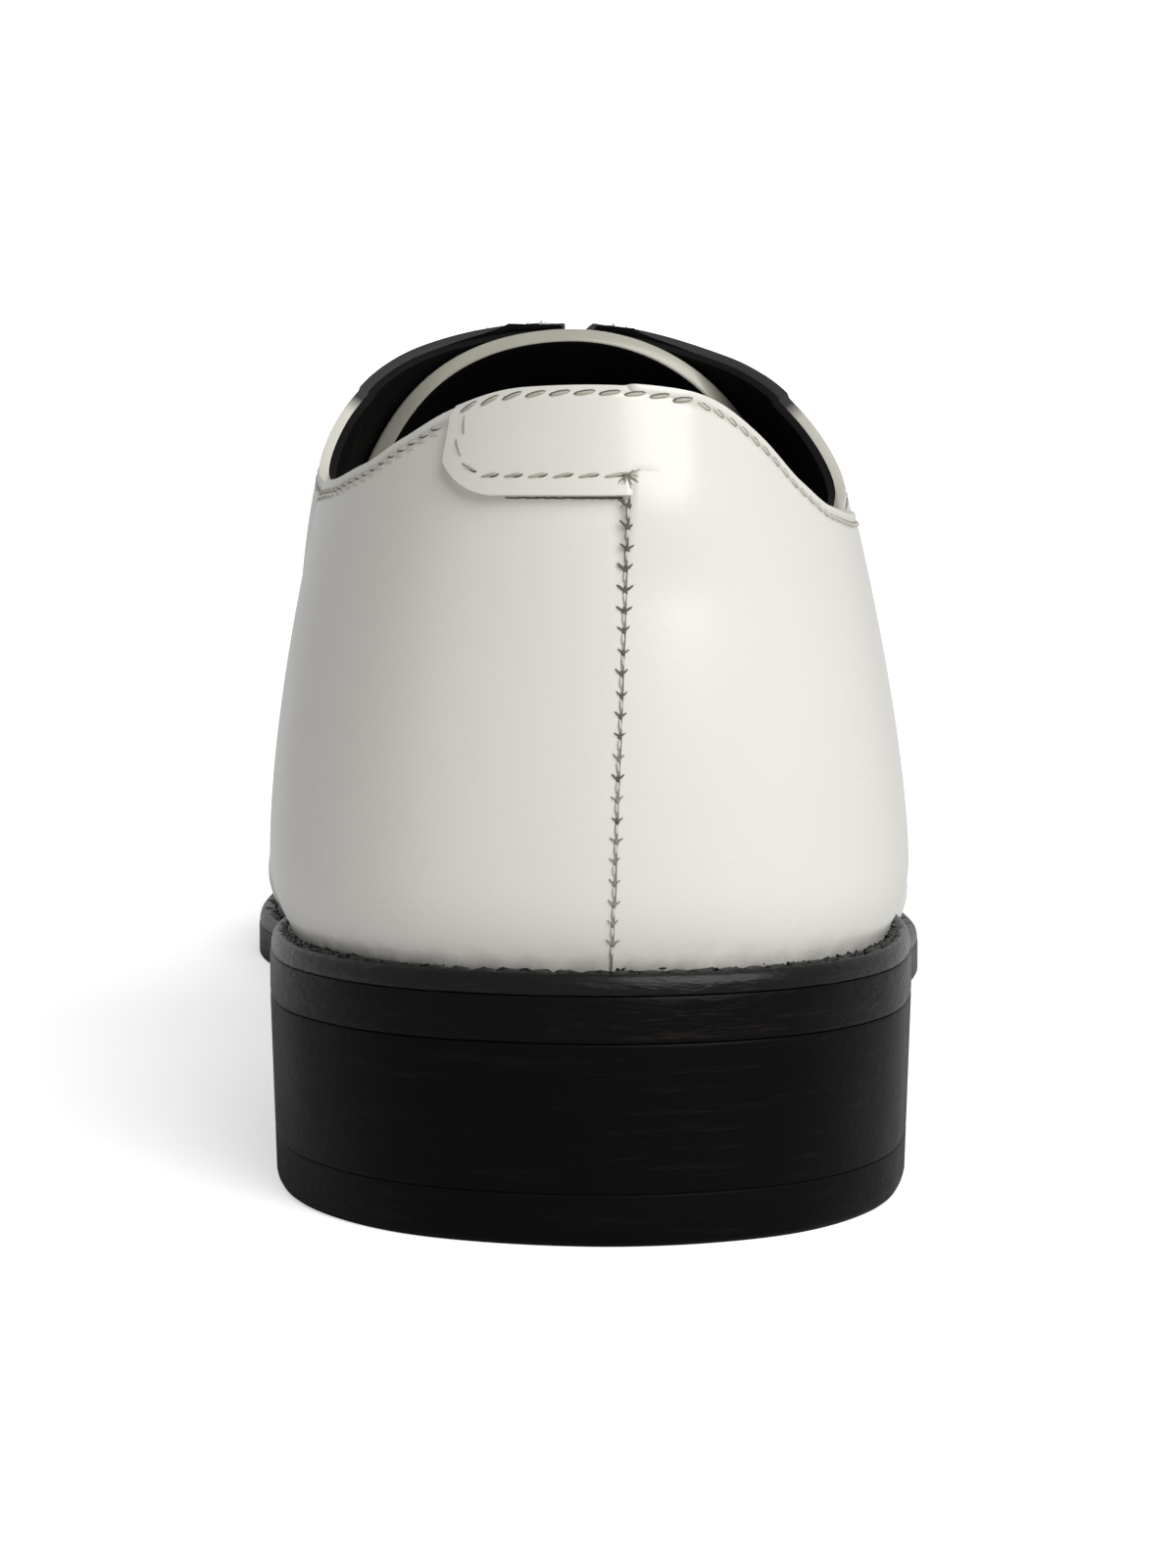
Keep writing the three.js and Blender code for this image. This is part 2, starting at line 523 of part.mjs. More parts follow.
// The line of the crest in plan
const crestLine = range(CREST_STEPS + 1, (i) => crestAt(THREE.MathUtils.lerp(0.36, 0.8, i / CREST_STEPS)));
function crestAcross(y) {
  const i = crestLine.findIndex((point) => point.y > y);
  const [a, b] = [crestLine[i - 1], crestLine[i]];
  return THREE.MathUtils.lerp(a.x, b.x, (y - a.y) / (b.y - a.y));
}

// Cutting tools of the upper
const aboveWelt = layerBetween(
  (y) => weltTopAt(y) + CLEARANCE,
  () => FAR,
);

// Everything above the topline, ruled from the inner side's view to the outer side's
function collarSpace() {
  const steps = 40;
  const view = (side) => {
    const line = range(steps + 1, (i) => {
      const along = THREE.MathUtils.lerp(TOPLINE[0].along, TOPLINE[TOPLINE.length - 1].along, i / steps);
      return [place(along), weltTopAt(place(along)) + lookup(TOPLINE, side, along)];
    });
    return [...line, [line[steps][0], FAR], [line[0][0], FAR]];
  };
  const reach = 0.6 * HEEL_BREADTH;
  return sidePrism(view('medial'), -reach, reach, view('lateral'));
}

// The slit between the facings, with its upper corners rounded
function facingSlit() {
  const half = FACING_GAP / 2;
  const top = FACING_TOP - CORNER_START - HEEL_CENTRE;
  const end = THROAT - HEEL_CENTRE;
  const edge = (side, corner) => {
    const arc = range(7, (i) => {
      const turn = (Math.PI / 2) * (1 - i / 6);
      return [half + corner * (1 - Math.cos(turn)), top + corner * (1 - Math.sin(turn))];
    });
    const straight = range(9, (i) => [half, THREE.MathUtils.lerp(top + corner, end, (i + 1) / 9)]);
    const behind = [[half + corner, top - 2 * LATERAL_CORNER], ...arc];
    return [...behind, ...straight].map(([x, y]) => [crestAcross(y) + side * x, y]);
  };
  return planPrism([...edge(1, LATERAL_CORNER), ...edge(-1, MEDIAL_CORNER).reverse()], 0, FAR);
}

// Places of the eyelets on the last: one list from the top pair to the bottom pair for each side
const eyeletRows = range(EYELET_PAIRS, (i) =>
  THREE.MathUtils.lerp(
    FACING_TOP + EYELET_MARGIN,
    THROAT - EYELET_MARGIN,
    EYELET_PAIRS > 1 ? i / (EYELET_PAIRS - 1) : 0,
  ) - HEEL_CENTRE,
);
const eyeletReach = FACING_GAP / 2 + EYELET_INSET;

const outside = surfaceAt(0);
function eyeletHole(side, y) {
  const { point, normal } = highestOn(outside, crestAcross(y) + side * eyeletReach, y);
  const hole = new THREE.CylinderGeometry(EYELET_RADIUS, EYELET_RADIUS, 6 * WALL, 10);
  hole.applyQuaternion(new THREE.Quaternion().setFromUnitVectors(new THREE.Vector3(0, 1, 0), normal));
  return solidOf(hole.translate(point.x, point.y, point.z));
}

// Everything in front of the vamp's back edge
function vampSpace() {
  const edge = VAMP_SEAM.map(({ along, height }) => [place(along), weltTopAt(place(along)) + height]);
  const front = [[FAR, edge[edge.length - 1][1]], [FAR, edge[0][1]]];
  return sidePrism([...edge, ...front], -BALL_BREADTH, BALL_BREADTH);
}

// Everything in front of the toe cap's seam, which bows back at the sides
function capSpace() {
  const steps = 16;
  const seam = range(steps + 1, (i) => {
    const x = THREE.MathUtils.lerp(-0.6, 0.6, i / steps) * BALL_BREADTH;
    const bow = CAP_BOW * (x / (BALL_BREADTH / 2)) ** 2;
    return [x, CAP_LINE - HEEL_CENTRE - bow];
  });
  return planPrism([...seam, [0.6 * BALL_BREADTH, FAR], [-0.6 * BALL_BREADTH, FAR]], -FAR, FAR);
}

// The heel tab is the outer quarter's leather, carried across the back seam over the inner quarter
const tabLow = weltTopAt(-HEEL_CENTRE) + BACK_HEIGHT - TAB_HEIGHT;
function tabRise(point) {
  const across = THREE.MathUtils.smoothstep(SEAM_OFFSET + TAB_FADE - point.x, 0, TAB_FADE);
  const upwards = THREE.MathUtils.smoothstep(point.z, tabLow - TAB_FADE, tabLow);
  return (OVERLAY + CLEARANCE) * across * upwards - CLEARANCE;
}
function tabSpace() {
  const corner = range(6, (i) => {
    const turn = (Math.PI / 2) * (i / 5);
    return [
      -TAB_REACH + TAB_CORNER * (1 - Math.cos(turn)),
      tabLow + TAB_CORNER * (1 - Math.sin(turn)),
    ];
  });
  const outer = SEAM_OFFSET + 2 * TAB_FADE;
  const low = tabLow - 2 * TAB_FADE;
  const points = [
    [-TAB_REACH, FAR], ...corner, [SEAM_OFFSET, tabLow], [SEAM_OFFSET, low], [outer, low], [outer, FAR],
  ];
  return backPrism(points, -2 * HEEL_CENTRE, -HEEL_CENTRE / 4);
}

// A layer of leather on the last, from one height over its surface to another
const below = 4 * WELT; // lets a form down past the outsole, so that what it cuts is open underneath
const layerOn = (inner, outer) => lastForm(outer).subtract(lastForm(inner, below));

function makeUpper() {
  let upper = layerOn(-WALL, 0)
    .add(layerOn(-WALL / 2, OVERLAY).intersect(vampSpace()).intersect(aboveWelt))
    .add(layerOn(-WALL / 2, tabRise).intersect(tabSpace()))
    .subtract(collarSpace())
    .subtract(facingSlit());
  for (const y of eyeletRows)
    for (const side of [1, -1]) upper = upper.subtract(eyeletHole(side, y));
  return upper;
}

const makeToeCap = () =>
  layerOn(OVERLAY + CLEARANCE, 2 * OVERLAY + CLEARANCE).intersect(capSpace()).intersect(aboveWelt);

// The tongue lies on the inside of the facings
function makeTongue() {
  const top = FACING_TOP - TONGUE_RISE - HEEL_CENTRE;
  const foot = THROAT + TONGUE_TUCK - HEEL_CENTRE;
  const outer = -WALL - CLEARANCE;
  const edge = (side) =>
    range(9, (i) => {
      const y = THREE.MathUtils.lerp(top, foot, i / 8);
      return [crestAcross(y) + (side * THREE.MathUtils.lerp(TONGUE_BREADTH, TONGUE_FOOT, i / 8)) / 2, y];
    });
  return layerOn(outer - TONGUE, outer).intersect(
    planPrism([...edge(1), ...edge(-1).reverse()], weltTopAt(foot) + 0.4 * INSTEP_HEIGHT, FAR),
  );
}

const makeInsole = () =>
  lastForm(-WALL - CLEARANCE, below).intersect(
    layerBetween(
      (y) => outsoleTopAt(y) + CLEARANCE,
      (y) => outsoleTopAt(y) + CLEARANCE + INSOLE,
    ),
  );

const makeWelt = () =>
  planPrism(planOutline(WELT_STEP), 0, FAR)
    .intersect(layerBetween((y) => outsoleTopAt(y) + CLEARANCE, weltTopAt))
    .subtract(lastForm(CLEARANCE, below));

const makeOutsole = () =>
  planPrism(planOutline(0), -FAR, FAR).intersect(layerBetween(undersideAt, outsoleTopAt));

// The heel in plan, drawn in by inset: the outline behind a breast line that curves towards the back
function heelOutline(inset) {
  const breast = HEEL_LENGTH - HEEL_CENTRE;
  const points = planOutline(inset);
  const start = points.findIndex(([, y]) => y > breast);
  const end = points.findLastIndex(([, y]) => y > breast);
  const crossing = (a, b) => THREE.MathUtils.lerp(a[0], b[0], (breast - a[1]) / (b[1] - a[1]));
  const outer = crossing(points[start - 1], points[start]);
  const inner = crossing(points[end], points[end + 1]);
  const steps = 8;
  const line = range(steps + 1, (i) => {
    const t = i / steps;
    return [THREE.MathUtils.lerp(outer, inner, t), breast - 4 * BREAST_CURVE * t * (1 - t)];
  });
  return [...points.slice(end + 1), ...points.slice(0, start), ...line];
}

// How far the heel has drawn in at a height
const taperAt = (z) => HEEL_TAPER * (1 - z / HEEL_HEIGHT);
const heelBlock = (low, high) => loft(heelOutline(taperAt(low)), low, heelOutline(taperAt(high)), high);
const makeTopLift = () => heelBlock(0, TOP_LIFT);
const makeHeelStack = () =>
  heelBlock(TOP_LIFT + CLEARANCE, HEEL_HEIGHT + OUTSOLE).subtract(
    layerBetween(
      (y) => undersideAt(y) - CLEARANCE,
      () => FAR,
    ),
  );

// A bar of the lace across the slit, from eyelet to eyelet, on the facings
const barSurface = surfaceAt(LACE_RADIUS + CLEARANCE);
function makeLaceBar(y) {
  const path = range(
    9,
    (i) => highestOn(barSurface, crestAcross(y) + THREE.MathUtils.lerp(-1, 1, i / 8) * eyeletReach, y).point,
  );
  const section = shapeOf(
    range(6, (i) => [LACE_RADIUS * Math.cos((i * Math.PI) / 3), LACE_RADIUS * Math.sin((i * Math.PI) / 3)]),
  );
  const geometry = new THREE.ExtrudeGeometry(section, {
    steps: 10,
    bevelEnabled: false,
    extrudePath: new THREE.CatmullRomCurve3(path),
  });
  return solidOf(geometry);
}

const shoe = new THREE.Group();
shoe.add(
  meshOf('upper', makeUpper(), MATERIALS.upperLeather),
  meshOf('toe_cap', makeToeCap(), MATERIALS.upperLeather),
  meshOf('tongue', makeTongue(), MATERIALS.tongueLeather),
  meshOf('insole', makeInsole(), MATERIALS.liningLeather),
  meshOf('welt', makeWelt(), MATERIALS.soleLeather),
  meshOf('outsole', makeOutsole(), MATERIALS.soleLeather),
  meshOf('heel_stack', makeHeelStack(), MATERIALS.soleLeather),
  meshOf('top_lift', makeTopLift(), MATERIALS.rubber),
);
eyeletRows.forEach((y, i) => shoe.add(meshOf(`lace_bar_${i + 1}`, makeLaceBar(y), MATERIALS.lace)));

export default shoe;
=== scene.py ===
"""The cap toe oxford, a right shoe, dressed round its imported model.

Lengths are millimetres until a mesh is written. +Y points to the toe, +X to the outer side of the foot, +Z up.
A place along the shoe is a share of the sole's length. A place on the upper is its loop and its rise.
The loop is 0 at the back of the heel, 1 at the toe on the outer side and -1 at the toe on the inner side.
The rise is 0 at the welt and 1 at the crest.
"""

import math
import random

import bmesh
import bpy
import numpy as np
from mathutils import Matrix, Vector, noise


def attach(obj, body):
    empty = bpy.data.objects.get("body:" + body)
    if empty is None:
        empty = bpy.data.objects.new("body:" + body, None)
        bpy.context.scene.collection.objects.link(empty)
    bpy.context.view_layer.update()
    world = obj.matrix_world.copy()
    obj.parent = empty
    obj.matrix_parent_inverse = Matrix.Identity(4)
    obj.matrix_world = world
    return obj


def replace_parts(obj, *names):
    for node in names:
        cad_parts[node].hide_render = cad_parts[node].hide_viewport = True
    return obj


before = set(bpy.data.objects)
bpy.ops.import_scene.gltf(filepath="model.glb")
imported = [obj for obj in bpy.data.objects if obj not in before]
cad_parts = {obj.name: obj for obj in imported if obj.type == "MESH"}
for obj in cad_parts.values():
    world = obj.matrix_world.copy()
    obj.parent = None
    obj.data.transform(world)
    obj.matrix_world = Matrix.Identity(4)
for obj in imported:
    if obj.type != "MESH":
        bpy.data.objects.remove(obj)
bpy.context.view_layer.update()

MM = 0.001

# Bottom of the shoe, as in the model
SOLE_LENGTH = 305
HEEL_LENGTH = 71
HEEL_CENTRE = HEEL_LENGTH / 2
BALL_BREADTH = 102.5
WAIST_BREADTH = 68
HEEL_BREADTH = 69.2
TOP_LIFT = 5.2
HEEL_STACK = 14.9
HEEL_HEIGHT = TOP_LIFT + HEEL_STACK
OUTSOLE = 4.6
WELT = 1.9
TOE_SPRING = 12
HEEL_TAPER = 0.6
BREAST_CURVE = 3
HEEL_LEDGE = 2.6
BALL_LEDGE = 4.8
TOE_LEDGE = 8
WELT_STEP = 0.4

# Upper, as in the model
BACK_HEIGHT = 57.2
LATERAL_HEIGHT = 46
MEDIAL_HEIGHT = 49.5
INSTEP_HEIGHT = 79.3
TOE_HEIGHT = 29
WALL = 2.2
OVERLAY = 1.2
TONGUE_BREADTH = 56
TONGUE_FOOT = 34
TONGUE_TUCK = 9
TONGUE_RISE = 2
INSOLE = 3
FACING_TOP = 0.3984 * SOLE_LENGTH
THROAT = 0.5836 * SOLE_LENGTH
FACING_GAP = 1.6
CAP_LINE = 0.7738 * SOLE_LENGTH
CAP_BOW = 5
VAMP_LINE = THROAT + 3
TAB_REACH = 13.8
TAB_HEIGHT = 11.2
LATERAL_CORNER = 6
MEDIAL_CORNER = 2
CORNER_START = 2
EYELET_PAIRS = 5
EYELET_RADIUS = 1.5
EYELET_INSET = 11
EYELET_MARGIN = 8
LACE_RADIUS = 1.15
CLEARANCE = 0.3
TUCK = 2
TUCK_RISE = 8

# What only the dressed shoe shows
LEATHER = 1.25  # outer leather, cut at the topline
TONGUE = 2.4
SEAM_OFFSET = 4.1  # back seam, from the middle to the outer side
TAB_CORNER = 5
TAB_LAYER = 1.0
TAB_FADE = 17
TAB_SLANT = 1.4  # how far its inner edge leans
SEAM_LEAN = 0.037  # how far the back seam runs to the inner side for each millimetre down
FOOT_SINK = 1.6  # upper that goes down inside the welt
WELT_FLUSH = 0.12  # outsole that shows outside the pressed welt
THREAD = 0.2  # radius


class Table:
    """Rows of values along the shoe, read on a smooth curve that never overshoots a row."""

    def __init__(self, columns, *rows):
        self.key = np.array([row[0] for row in rows], float)
        names = columns.split()
        self.columns = {name: np.array([row[i + 1] for row in rows], float) for i, name in enumerate(names)}

    def at(self, column, key):
        x, y = self.key, self.columns[column]
        key = np.clip(key, x[0], x[-1])
        i = np.clip(np.searchsorted(x, key) - 1, 0, len(x) - 2)
        step = np.diff(x)
        slope = np.diff(y) / step
        tangent = np.concatenate([slope[:1], np.zeros(len(x) - 2), slope[-1:]])
        before, after = slope[:-1], slope[1:]
        turns = before * after <= 0
        total = np.where(turns, 1, before + after)
        tangent[1:-1] = np.where(turns, 0, 2 * before * after / total)
        t = (key - x[i]) / step[i]
        gain = slope[i] * step[i]
        leave = tangent[i] * step[i] - gain
        arrive = gain - tangent[i + 1] * step[i]
        return y[i] + gain * t + t * (1 - t) * (leave * (1 - t) + arrive * t)


# Outline of the outsole, from the back of the heel round the outer side: share of the length, distance across
OUTLINE = [(along, across * breadth) for breadth, places in (
    (HEEL_BREADTH, (
        (0.0, 0.04), (0.018, 0.29), (0.058, 0.435), (0.12, 0.502), (0.21, 0.515),
    )),
    (WAIST_BREADTH, (
        (0.31, 0.525), (0.4, 0.57),
    )),
    (BALL_BREADTH, (
        (0.485, 0.405), (0.56, 0.438), (0.62, 0.481), (0.665, 0.497), (0.725, 0.481), (0.795, 0.42),
        (0.87, 0.334), (0.935, 0.235), (0.982, 0.11), (1.0, -0.05), (0.984, -0.2), (0.942, -0.308),
        (0.885, -0.395), (0.825, -0.457), (0.765, -0.497), (0.71, -0.503), (0.65, -0.458), (0.585, -0.4),
        (0.505, -0.347),
    )),
    (WAIST_BREADTH, (
        (0.42, -0.475), (0.32, -0.455),
    )),
    (HEEL_BREADTH, (
        (0.22, -0.482), (0.125, -0.49), (0.062, -0.42), (0.018, -0.25),
    )),
) for along, across in places]
UNDERSIDE = Table(
    "heel spring",
    (0.0, 1.0, 0),
    (0.11, 0.985, 0),
    (0.23, 0.92, 0),
    (0.3, 0.76, 0),
    (0.37, 0.47, 0),
    (0.44, 0.19, 0),
    (0.5, 0.035, 0),
    (0.545, 0, 0),
    (0.67, 0, 0),
    (0.75, 0, 0.1),
    (0.85, 0, 0.4),
    (0.93, 0, 0.71),
    (1.0, 0, 1),
)
LEDGE = Table("ledge", (0.2, HEEL_LEDGE), (0.55, BALL_LEDGE), (0.72, BALL_LEDGE), (0.92, TOE_LEDGE))

# Sections of the last, each a curve from the welt to the crest
SECTIONS = Table(
    "crest across height open rise flare_out flare_in drop reach_out reach_in",
    *((along, crest, across * BALL_BREADTH, up * tall, opening, rise * tall, out * broad, into * broad,
       drop * INSTEP_HEIGHT, reach_out * broad, reach_in * broad)
      for broad, tall, along, crest, across, up, opening, rise, out, into, drop, reach_out, reach_in in (
          (HEEL_BREADTH, INSTEP_HEIGHT, 0.0, 0.036, 0.01, 1.0, 0.5, 0.26, 0.045, 0.045, 0.35, 0.1, 0.1),
          (HEEL_BREADTH, INSTEP_HEIGHT, 0.12, 0.13, 0.0, 1.02, 0.52, 0.2, 0.03, 0.04, 0.33, 0.13, 0.15),
          (HEEL_BREADTH, INSTEP_HEIGHT, 0.24, 0.225, -0.008, 1.07, 0.53, 0.22, 0.035, 0.055, 0.36, 0.16, 0.16),
          (HEEL_BREADTH, INSTEP_HEIGHT, 0.33, 0.295, -0.012, 1.11, 0.38, 0.3, 0.09, 0.16, 0.22, 0.28, 0.34),
          (HEEL_BREADTH, INSTEP_HEIGHT, 0.4, 0.347, -0.014, 1.1, 0, 0.36, 0.12, 0.2, 0.02, 0.45, 0.52),
          (BALL_BREADTH, INSTEP_HEIGHT, 0.475, 0.41, -0.02, 0.995, 0, 0.38, 0.08, 0.12, 0, 0.285, 0.34),
          (BALL_BREADTH, INSTEP_HEIGHT, 0.56, 0.51, -0.035, 0.8, 0, 0.32, 0.04, 0.08, 0, 0.28, 0.3),
          (BALL_BREADTH, INSTEP_HEIGHT, 0.65, 0.62, -0.05, 0.6, 0, 0.24, 0.03, 0.04, 0, 0.29, 0.29),
          (BALL_BREADTH, INSTEP_HEIGHT, 0.75, 0.725, -0.055, 0.46, 0, 0.2, 0.025, 0.025, 0, 0.27, 0.27),
          (BALL_BREADTH, TOE_HEIGHT, 0.85, 0.81, -0.055, 1.06, 0, 0.56, 0.02, 0.02, 0, 0.2, 0.2),
          (BALL_BREADTH, TOE_HEIGHT, 1.0, 0.875, -0.053, 0.93, 0, 0.52, 0.015, 0.015, 0, 0.17, 0.17),
      )),
)
TOPLINE = Table(
    "lateral medial",
    *((along, lateral * outer, medial * inner) for outer, inner, places in (
        (BACK_HEIGHT, BACK_HEIGHT, (
            (-0.05, 1.0, 1.03), (0.012, 0.985, 1.015), (0.024, 0.96, 1.015), (0.037, 0.88, 0.995),
        )),
        (LATERAL_HEIGHT, MEDIAL_HEIGHT, (
            (0.052, 0.99, 1.1), (0.07, 0.95, 1.035), (0.1, 0.945, 0.99), (0.17, 0.965, 0.98),
            (0.245, 1.0, 1.0),
        )),
        (INSTEP_HEIGHT, INSTEP_HEIGHT, (
            (0.3, 0.645, 0.67), (0.345, 0.81, 0.825), (0.38, 0.925, 0.95), (0.397, 0.99, 1.05),
            (0.415, 1.4, 1.4),
        )),
    ) for along, lateral, medial in places),
)
# Back edge of the vamp, read by its height over the welt
VAMP_SEAM = Table(
    "along",
    (-0.1 * INSTEP_HEIGHT, 0.395),
    (0.13 * INSTEP_HEIGHT, 0.43),
    (0.26 * INSTEP_HEIGHT, 0.485),
    (0.41 * INSTEP_HEIGHT, 0.545),
    (0.53 * INSTEP_HEIGHT, 0.585),
    (0.62 * INSTEP_HEIGHT, VAMP_LINE / SOLE_LENGTH),
    (1.5 * INSTEP_HEIGHT, VAMP_LINE / SOLE_LENGTH),
)


def place(along):
    return along * SOLE_LENGTH - HEEL_CENTRE


def share(y):
    return (y + HEEL_CENTRE) / SOLE_LENGTH


def underside(y):
    return HEEL_HEIGHT * UNDERSIDE.at("heel", share(y)) + TOE_SPRING * UNDERSIDE.at("spring", share(y))


def outsole_top(y):
    return underside(y) + OUTSOLE


def welt_top(y):
    return outsole_top(y) + CLEARANCE + WELT


def fade(low, high, value):
    """0 below low, 1 above high, and a smooth rise between them."""
    t = np.clip((value - low) / (high - low), 0, 1)
    return t * t * (3 - 2 * t)


# The outline and the last
def closed_curve(points, count):
    """Points on a centripetal Catmull-Rom curve that closes through the given ones."""
    p = np.array(points, float)
    t = np.arange(count) * len(p) / count
    i = np.floor(t).astype(int)
    w = (t - i)[:, None]
    a, b, c, d = (p[(i + k) % len(p)] for k in (-1, 0, 1, 2))
    ab, bc, cd = (np.sqrt(np.linalg.norm(q - r, axis=1))[:, None] for q, r in ((b, a), (c, b), (d, c)))
    leave = ((b - a) / ab - (c - a) / (ab + bc) + (c - b) / bc) * bc
    arrive = ((c - b) / bc - (d - b) / (bc + cd) + (d - c) / cd) * bc
    return b + leave * w + (3 * (c - b) - 2 * leave - arrive) * w**2 + (2 * (b - c) + leave + arrive) * w**3


def half_outline(side):
    """The outline from the back of the heel to the tip of the toe, on one side, with its outward directions."""
    curve = closed_curve([(across, place(along)) for along, across in OUTLINE], 6400)
    back, tip = int(curve[:, 1].argmin()), int(curve[:, 1].argmax())
    count = (side * (tip - back)) % len(curve) + 1
    half = curve[(back + side * np.arange(count)) % len(curve)]
    run = np.gradient(half, axis=0)
    out = side * np.stack([run[:, 1], -run[:, 0]], axis=1)
    return half, out / np.linalg.norm(out, axis=1)[:, None]


HALVES = {1: half_outline(1), -1: half_outline(-1)}


def outline_at(side, along):
    """Points of the outline, and the outward directions there."""
    half, out = HALVES[side]
    y = half[0, 1] + along * (half[-1, 1] - half[0, 1])
    point = np.stack([np.interp(y, half[:, 1], half[:, 0]), y, np.zeros_like(y)], axis=-1)
    away = np.stack([np.interp(y, half[:, 1], out[:, k]) for k in (0, 1)] + [np.zeros_like(y)], axis=-1)
    return point, away / np.linalg.norm(away, axis=-1)[..., None]


def crest_at(along):
    y = place(SECTIONS.at("crest", along))
    return np.stack([SECTIONS.at("across", along), y, welt_top(y) + SECTIONS.at("height", along)], axis=-1)


def section_curves(side, along):
    """Four control points of each section, and the outward direction at its foot."""
    point, out = outline_at(side, along)
    foot = point + out * (TUCK - LEDGE.at("ledge", along))[:, None]
    foot[:, 2] = welt_top(foot[:, 1])
    crest = crest_at(along)
    ahead = crest_at(np.minimum(1, along + 0.01))
    behind = crest_at(np.maximum(0, along - 0.01))
    opening = SECTIONS.at("open", along)
    slope = np.where(opening > 0, 0, (ahead[:, 2] - behind[:, 2]) / (ahead[:, 1] - behind[:, 1]))
    crest[:, 0] += opening * point[:, 0]
    way = "out" if side > 0 else "in"
    up = np.array([0, 0, 1.0])
    lower = foot + out * SECTIONS.at("flare_" + way, along)[:, None] + up * SECTIONS.at("rise", along)[:, None]
    inwards = np.stack([out[:, 0], out[:, 1], slope * out[:, 1]], axis=-1)
    upper = crest + inwards * SECTIONS.at("reach_" + way, along)[:, None]
    upper -= up * SECTIONS.at("drop", along)[:, None]
    return np.stack([foot, lower, upper, crest], axis=1), out


STATIONS = 1200
steps = np.linspace(0, 1, STATIONS + 1)
lateral_controls, lateral_out = section_curves(1, (1 - np.cos(math.pi * steps)) / 2)
medial_controls, medial_out = section_curves(-1, (1 - np.cos(math.pi * steps)) / 2)
CONTROLS = np.concatenate([medial_controls[:0:-1], lateral_controls])
OUTWARD = np.concatenate([medial_out[:0:-1], lateral_out])
CREST = crest_at(np.linspace(0.3, 1, 400))


def along_of(loop):
    return (1 - np.cos(math.pi * np.abs(loop))) / 2


def loop_of(along):
    return np.arccos(1 - 2 * along) / math.pi


def last_points(loop, rise):
    """Points of the last. Both places are arrays of one shape, or broadcast to one."""
    loop, rise = np.broadcast_arrays(np.asarray(loop, float), np.asarray(rise, float))
    station = ((loop + 1) % 2) * STATIONS
    i = np.minimum(station.astype(int), 2 * STATIONS - 1)
    w = (station - i)[..., None]
    t = rise[..., None]
    a, b, c, d = (CONTROLS[i, k] * (1 - w) + CONTROLS[i + 1, k] * w for k in range(4))
    out = OUTWARD[i] * (1 - w) + OUTWARD[i + 1] * w
    point = a * (1 - t) ** 3 + 3 * b * t * (1 - t) ** 2 + 3 * c * t**2 * (1 - t) + d * t**3
    low = 1 - np.clip((point[..., 2:] - a[..., 2:]) / TUCK_RISE, 0, 1)
    return point - out * TUCK * low * low


def side_normals(loop, rise):
    forward = last_points(loop + 0.003, rise) - last_points(loop - 0.003, rise)
    upward = last_points(loop, np.minimum(rise + 0.004, 1)) - last_points(loop, np.maximum(rise - 0.004, 0))
    normal = np.cross(forward, upward)
    return normal / np.linalg.norm(normal, axis=-1)[..., None]


def last_normals(loop, rise):
    """Outward directions of the last. On the crest the two sides share one."""
    loop, rise = np.broadcast_arrays(np.asarray(loop, float), np.minimum(rise, 0.994))
    normal = side_normals(loop, rise)
    shared = normal + np.where((rise > 0.9939)[..., None], side_normals(-loop, rise), 0)
    return shared / np.linalg.norm(shared, axis=-1)[..., None]


def on_last(loop, rise, offset=0.0):
    """Points at an offset over the last."""
    return last_points(loop, rise) + last_normals(loop, rise) * np.asarray(offset, float)[..., None]


def find(target, axes, loop, rise):
    """The places on the last that one view shows at the target's two coordinates, from a first guess."""
    h = 1e-4
    for _ in range(16):
        here = last_points(loop, rise)[..., axes]
        a = (last_points(loop + h, rise)[..., axes] - here) / h
        b = (last_points(loop, rise + h)[..., axes] - here) / h
        miss = target - here
        area = a[..., 0] * b[..., 1] - a[..., 1] * b[..., 0]
        area = np.where(np.abs(area) < 1, 1, area)
        loop = loop + np.clip((miss[..., 0] * b[..., 1] - miss[..., 1] * b[..., 0]) / area, -0.04, 0.04)
        rise = rise + np.clip((a[..., 0] * miss[..., 1] - a[..., 1] * miss[..., 0]) / area, -0.08, 0.08)
        rise = np.clip(rise, 0, 1)
    return loop, rise


def crest_across(y):
    return np.interp(y, CREST[:, 1], CREST[:, 0])


def over_edge(points):
    """How far points lie past the upper's cut edge, upwards over the topline or into the facings' slit."""
    x, y, z = points[..., 0], points[..., 1], points[..., 2]
    reach = 0.6 * HEEL_BREADTH
    t = np.clip((x + reach) / (2 * reach), 0, 1)
    lateral, medial = (TOPLINE.at(side, share(y)) for side in ("lateral", "medial"))
    over = z - welt_top(y) - medial - (lateral - medial) * t
    from_crest = x - crest_across(y)
    corner = np.where(from_crest > 0, LATERAL_CORNER, MEDIAL_CORNER)
    start = FACING_TOP - CORNER_START - HEEL_CENTRE
    back = np.clip(1 - (y - start) / corner, 0, 1)
    half = FACING_GAP / 2 + corner * (1 - np.sqrt(1 - back * back))
    inside = (y > start) & (y < THROAT - HEEL_CENTRE)
    return np.maximum(over, np.where(inside, half - np.abs(from_crest), -1))


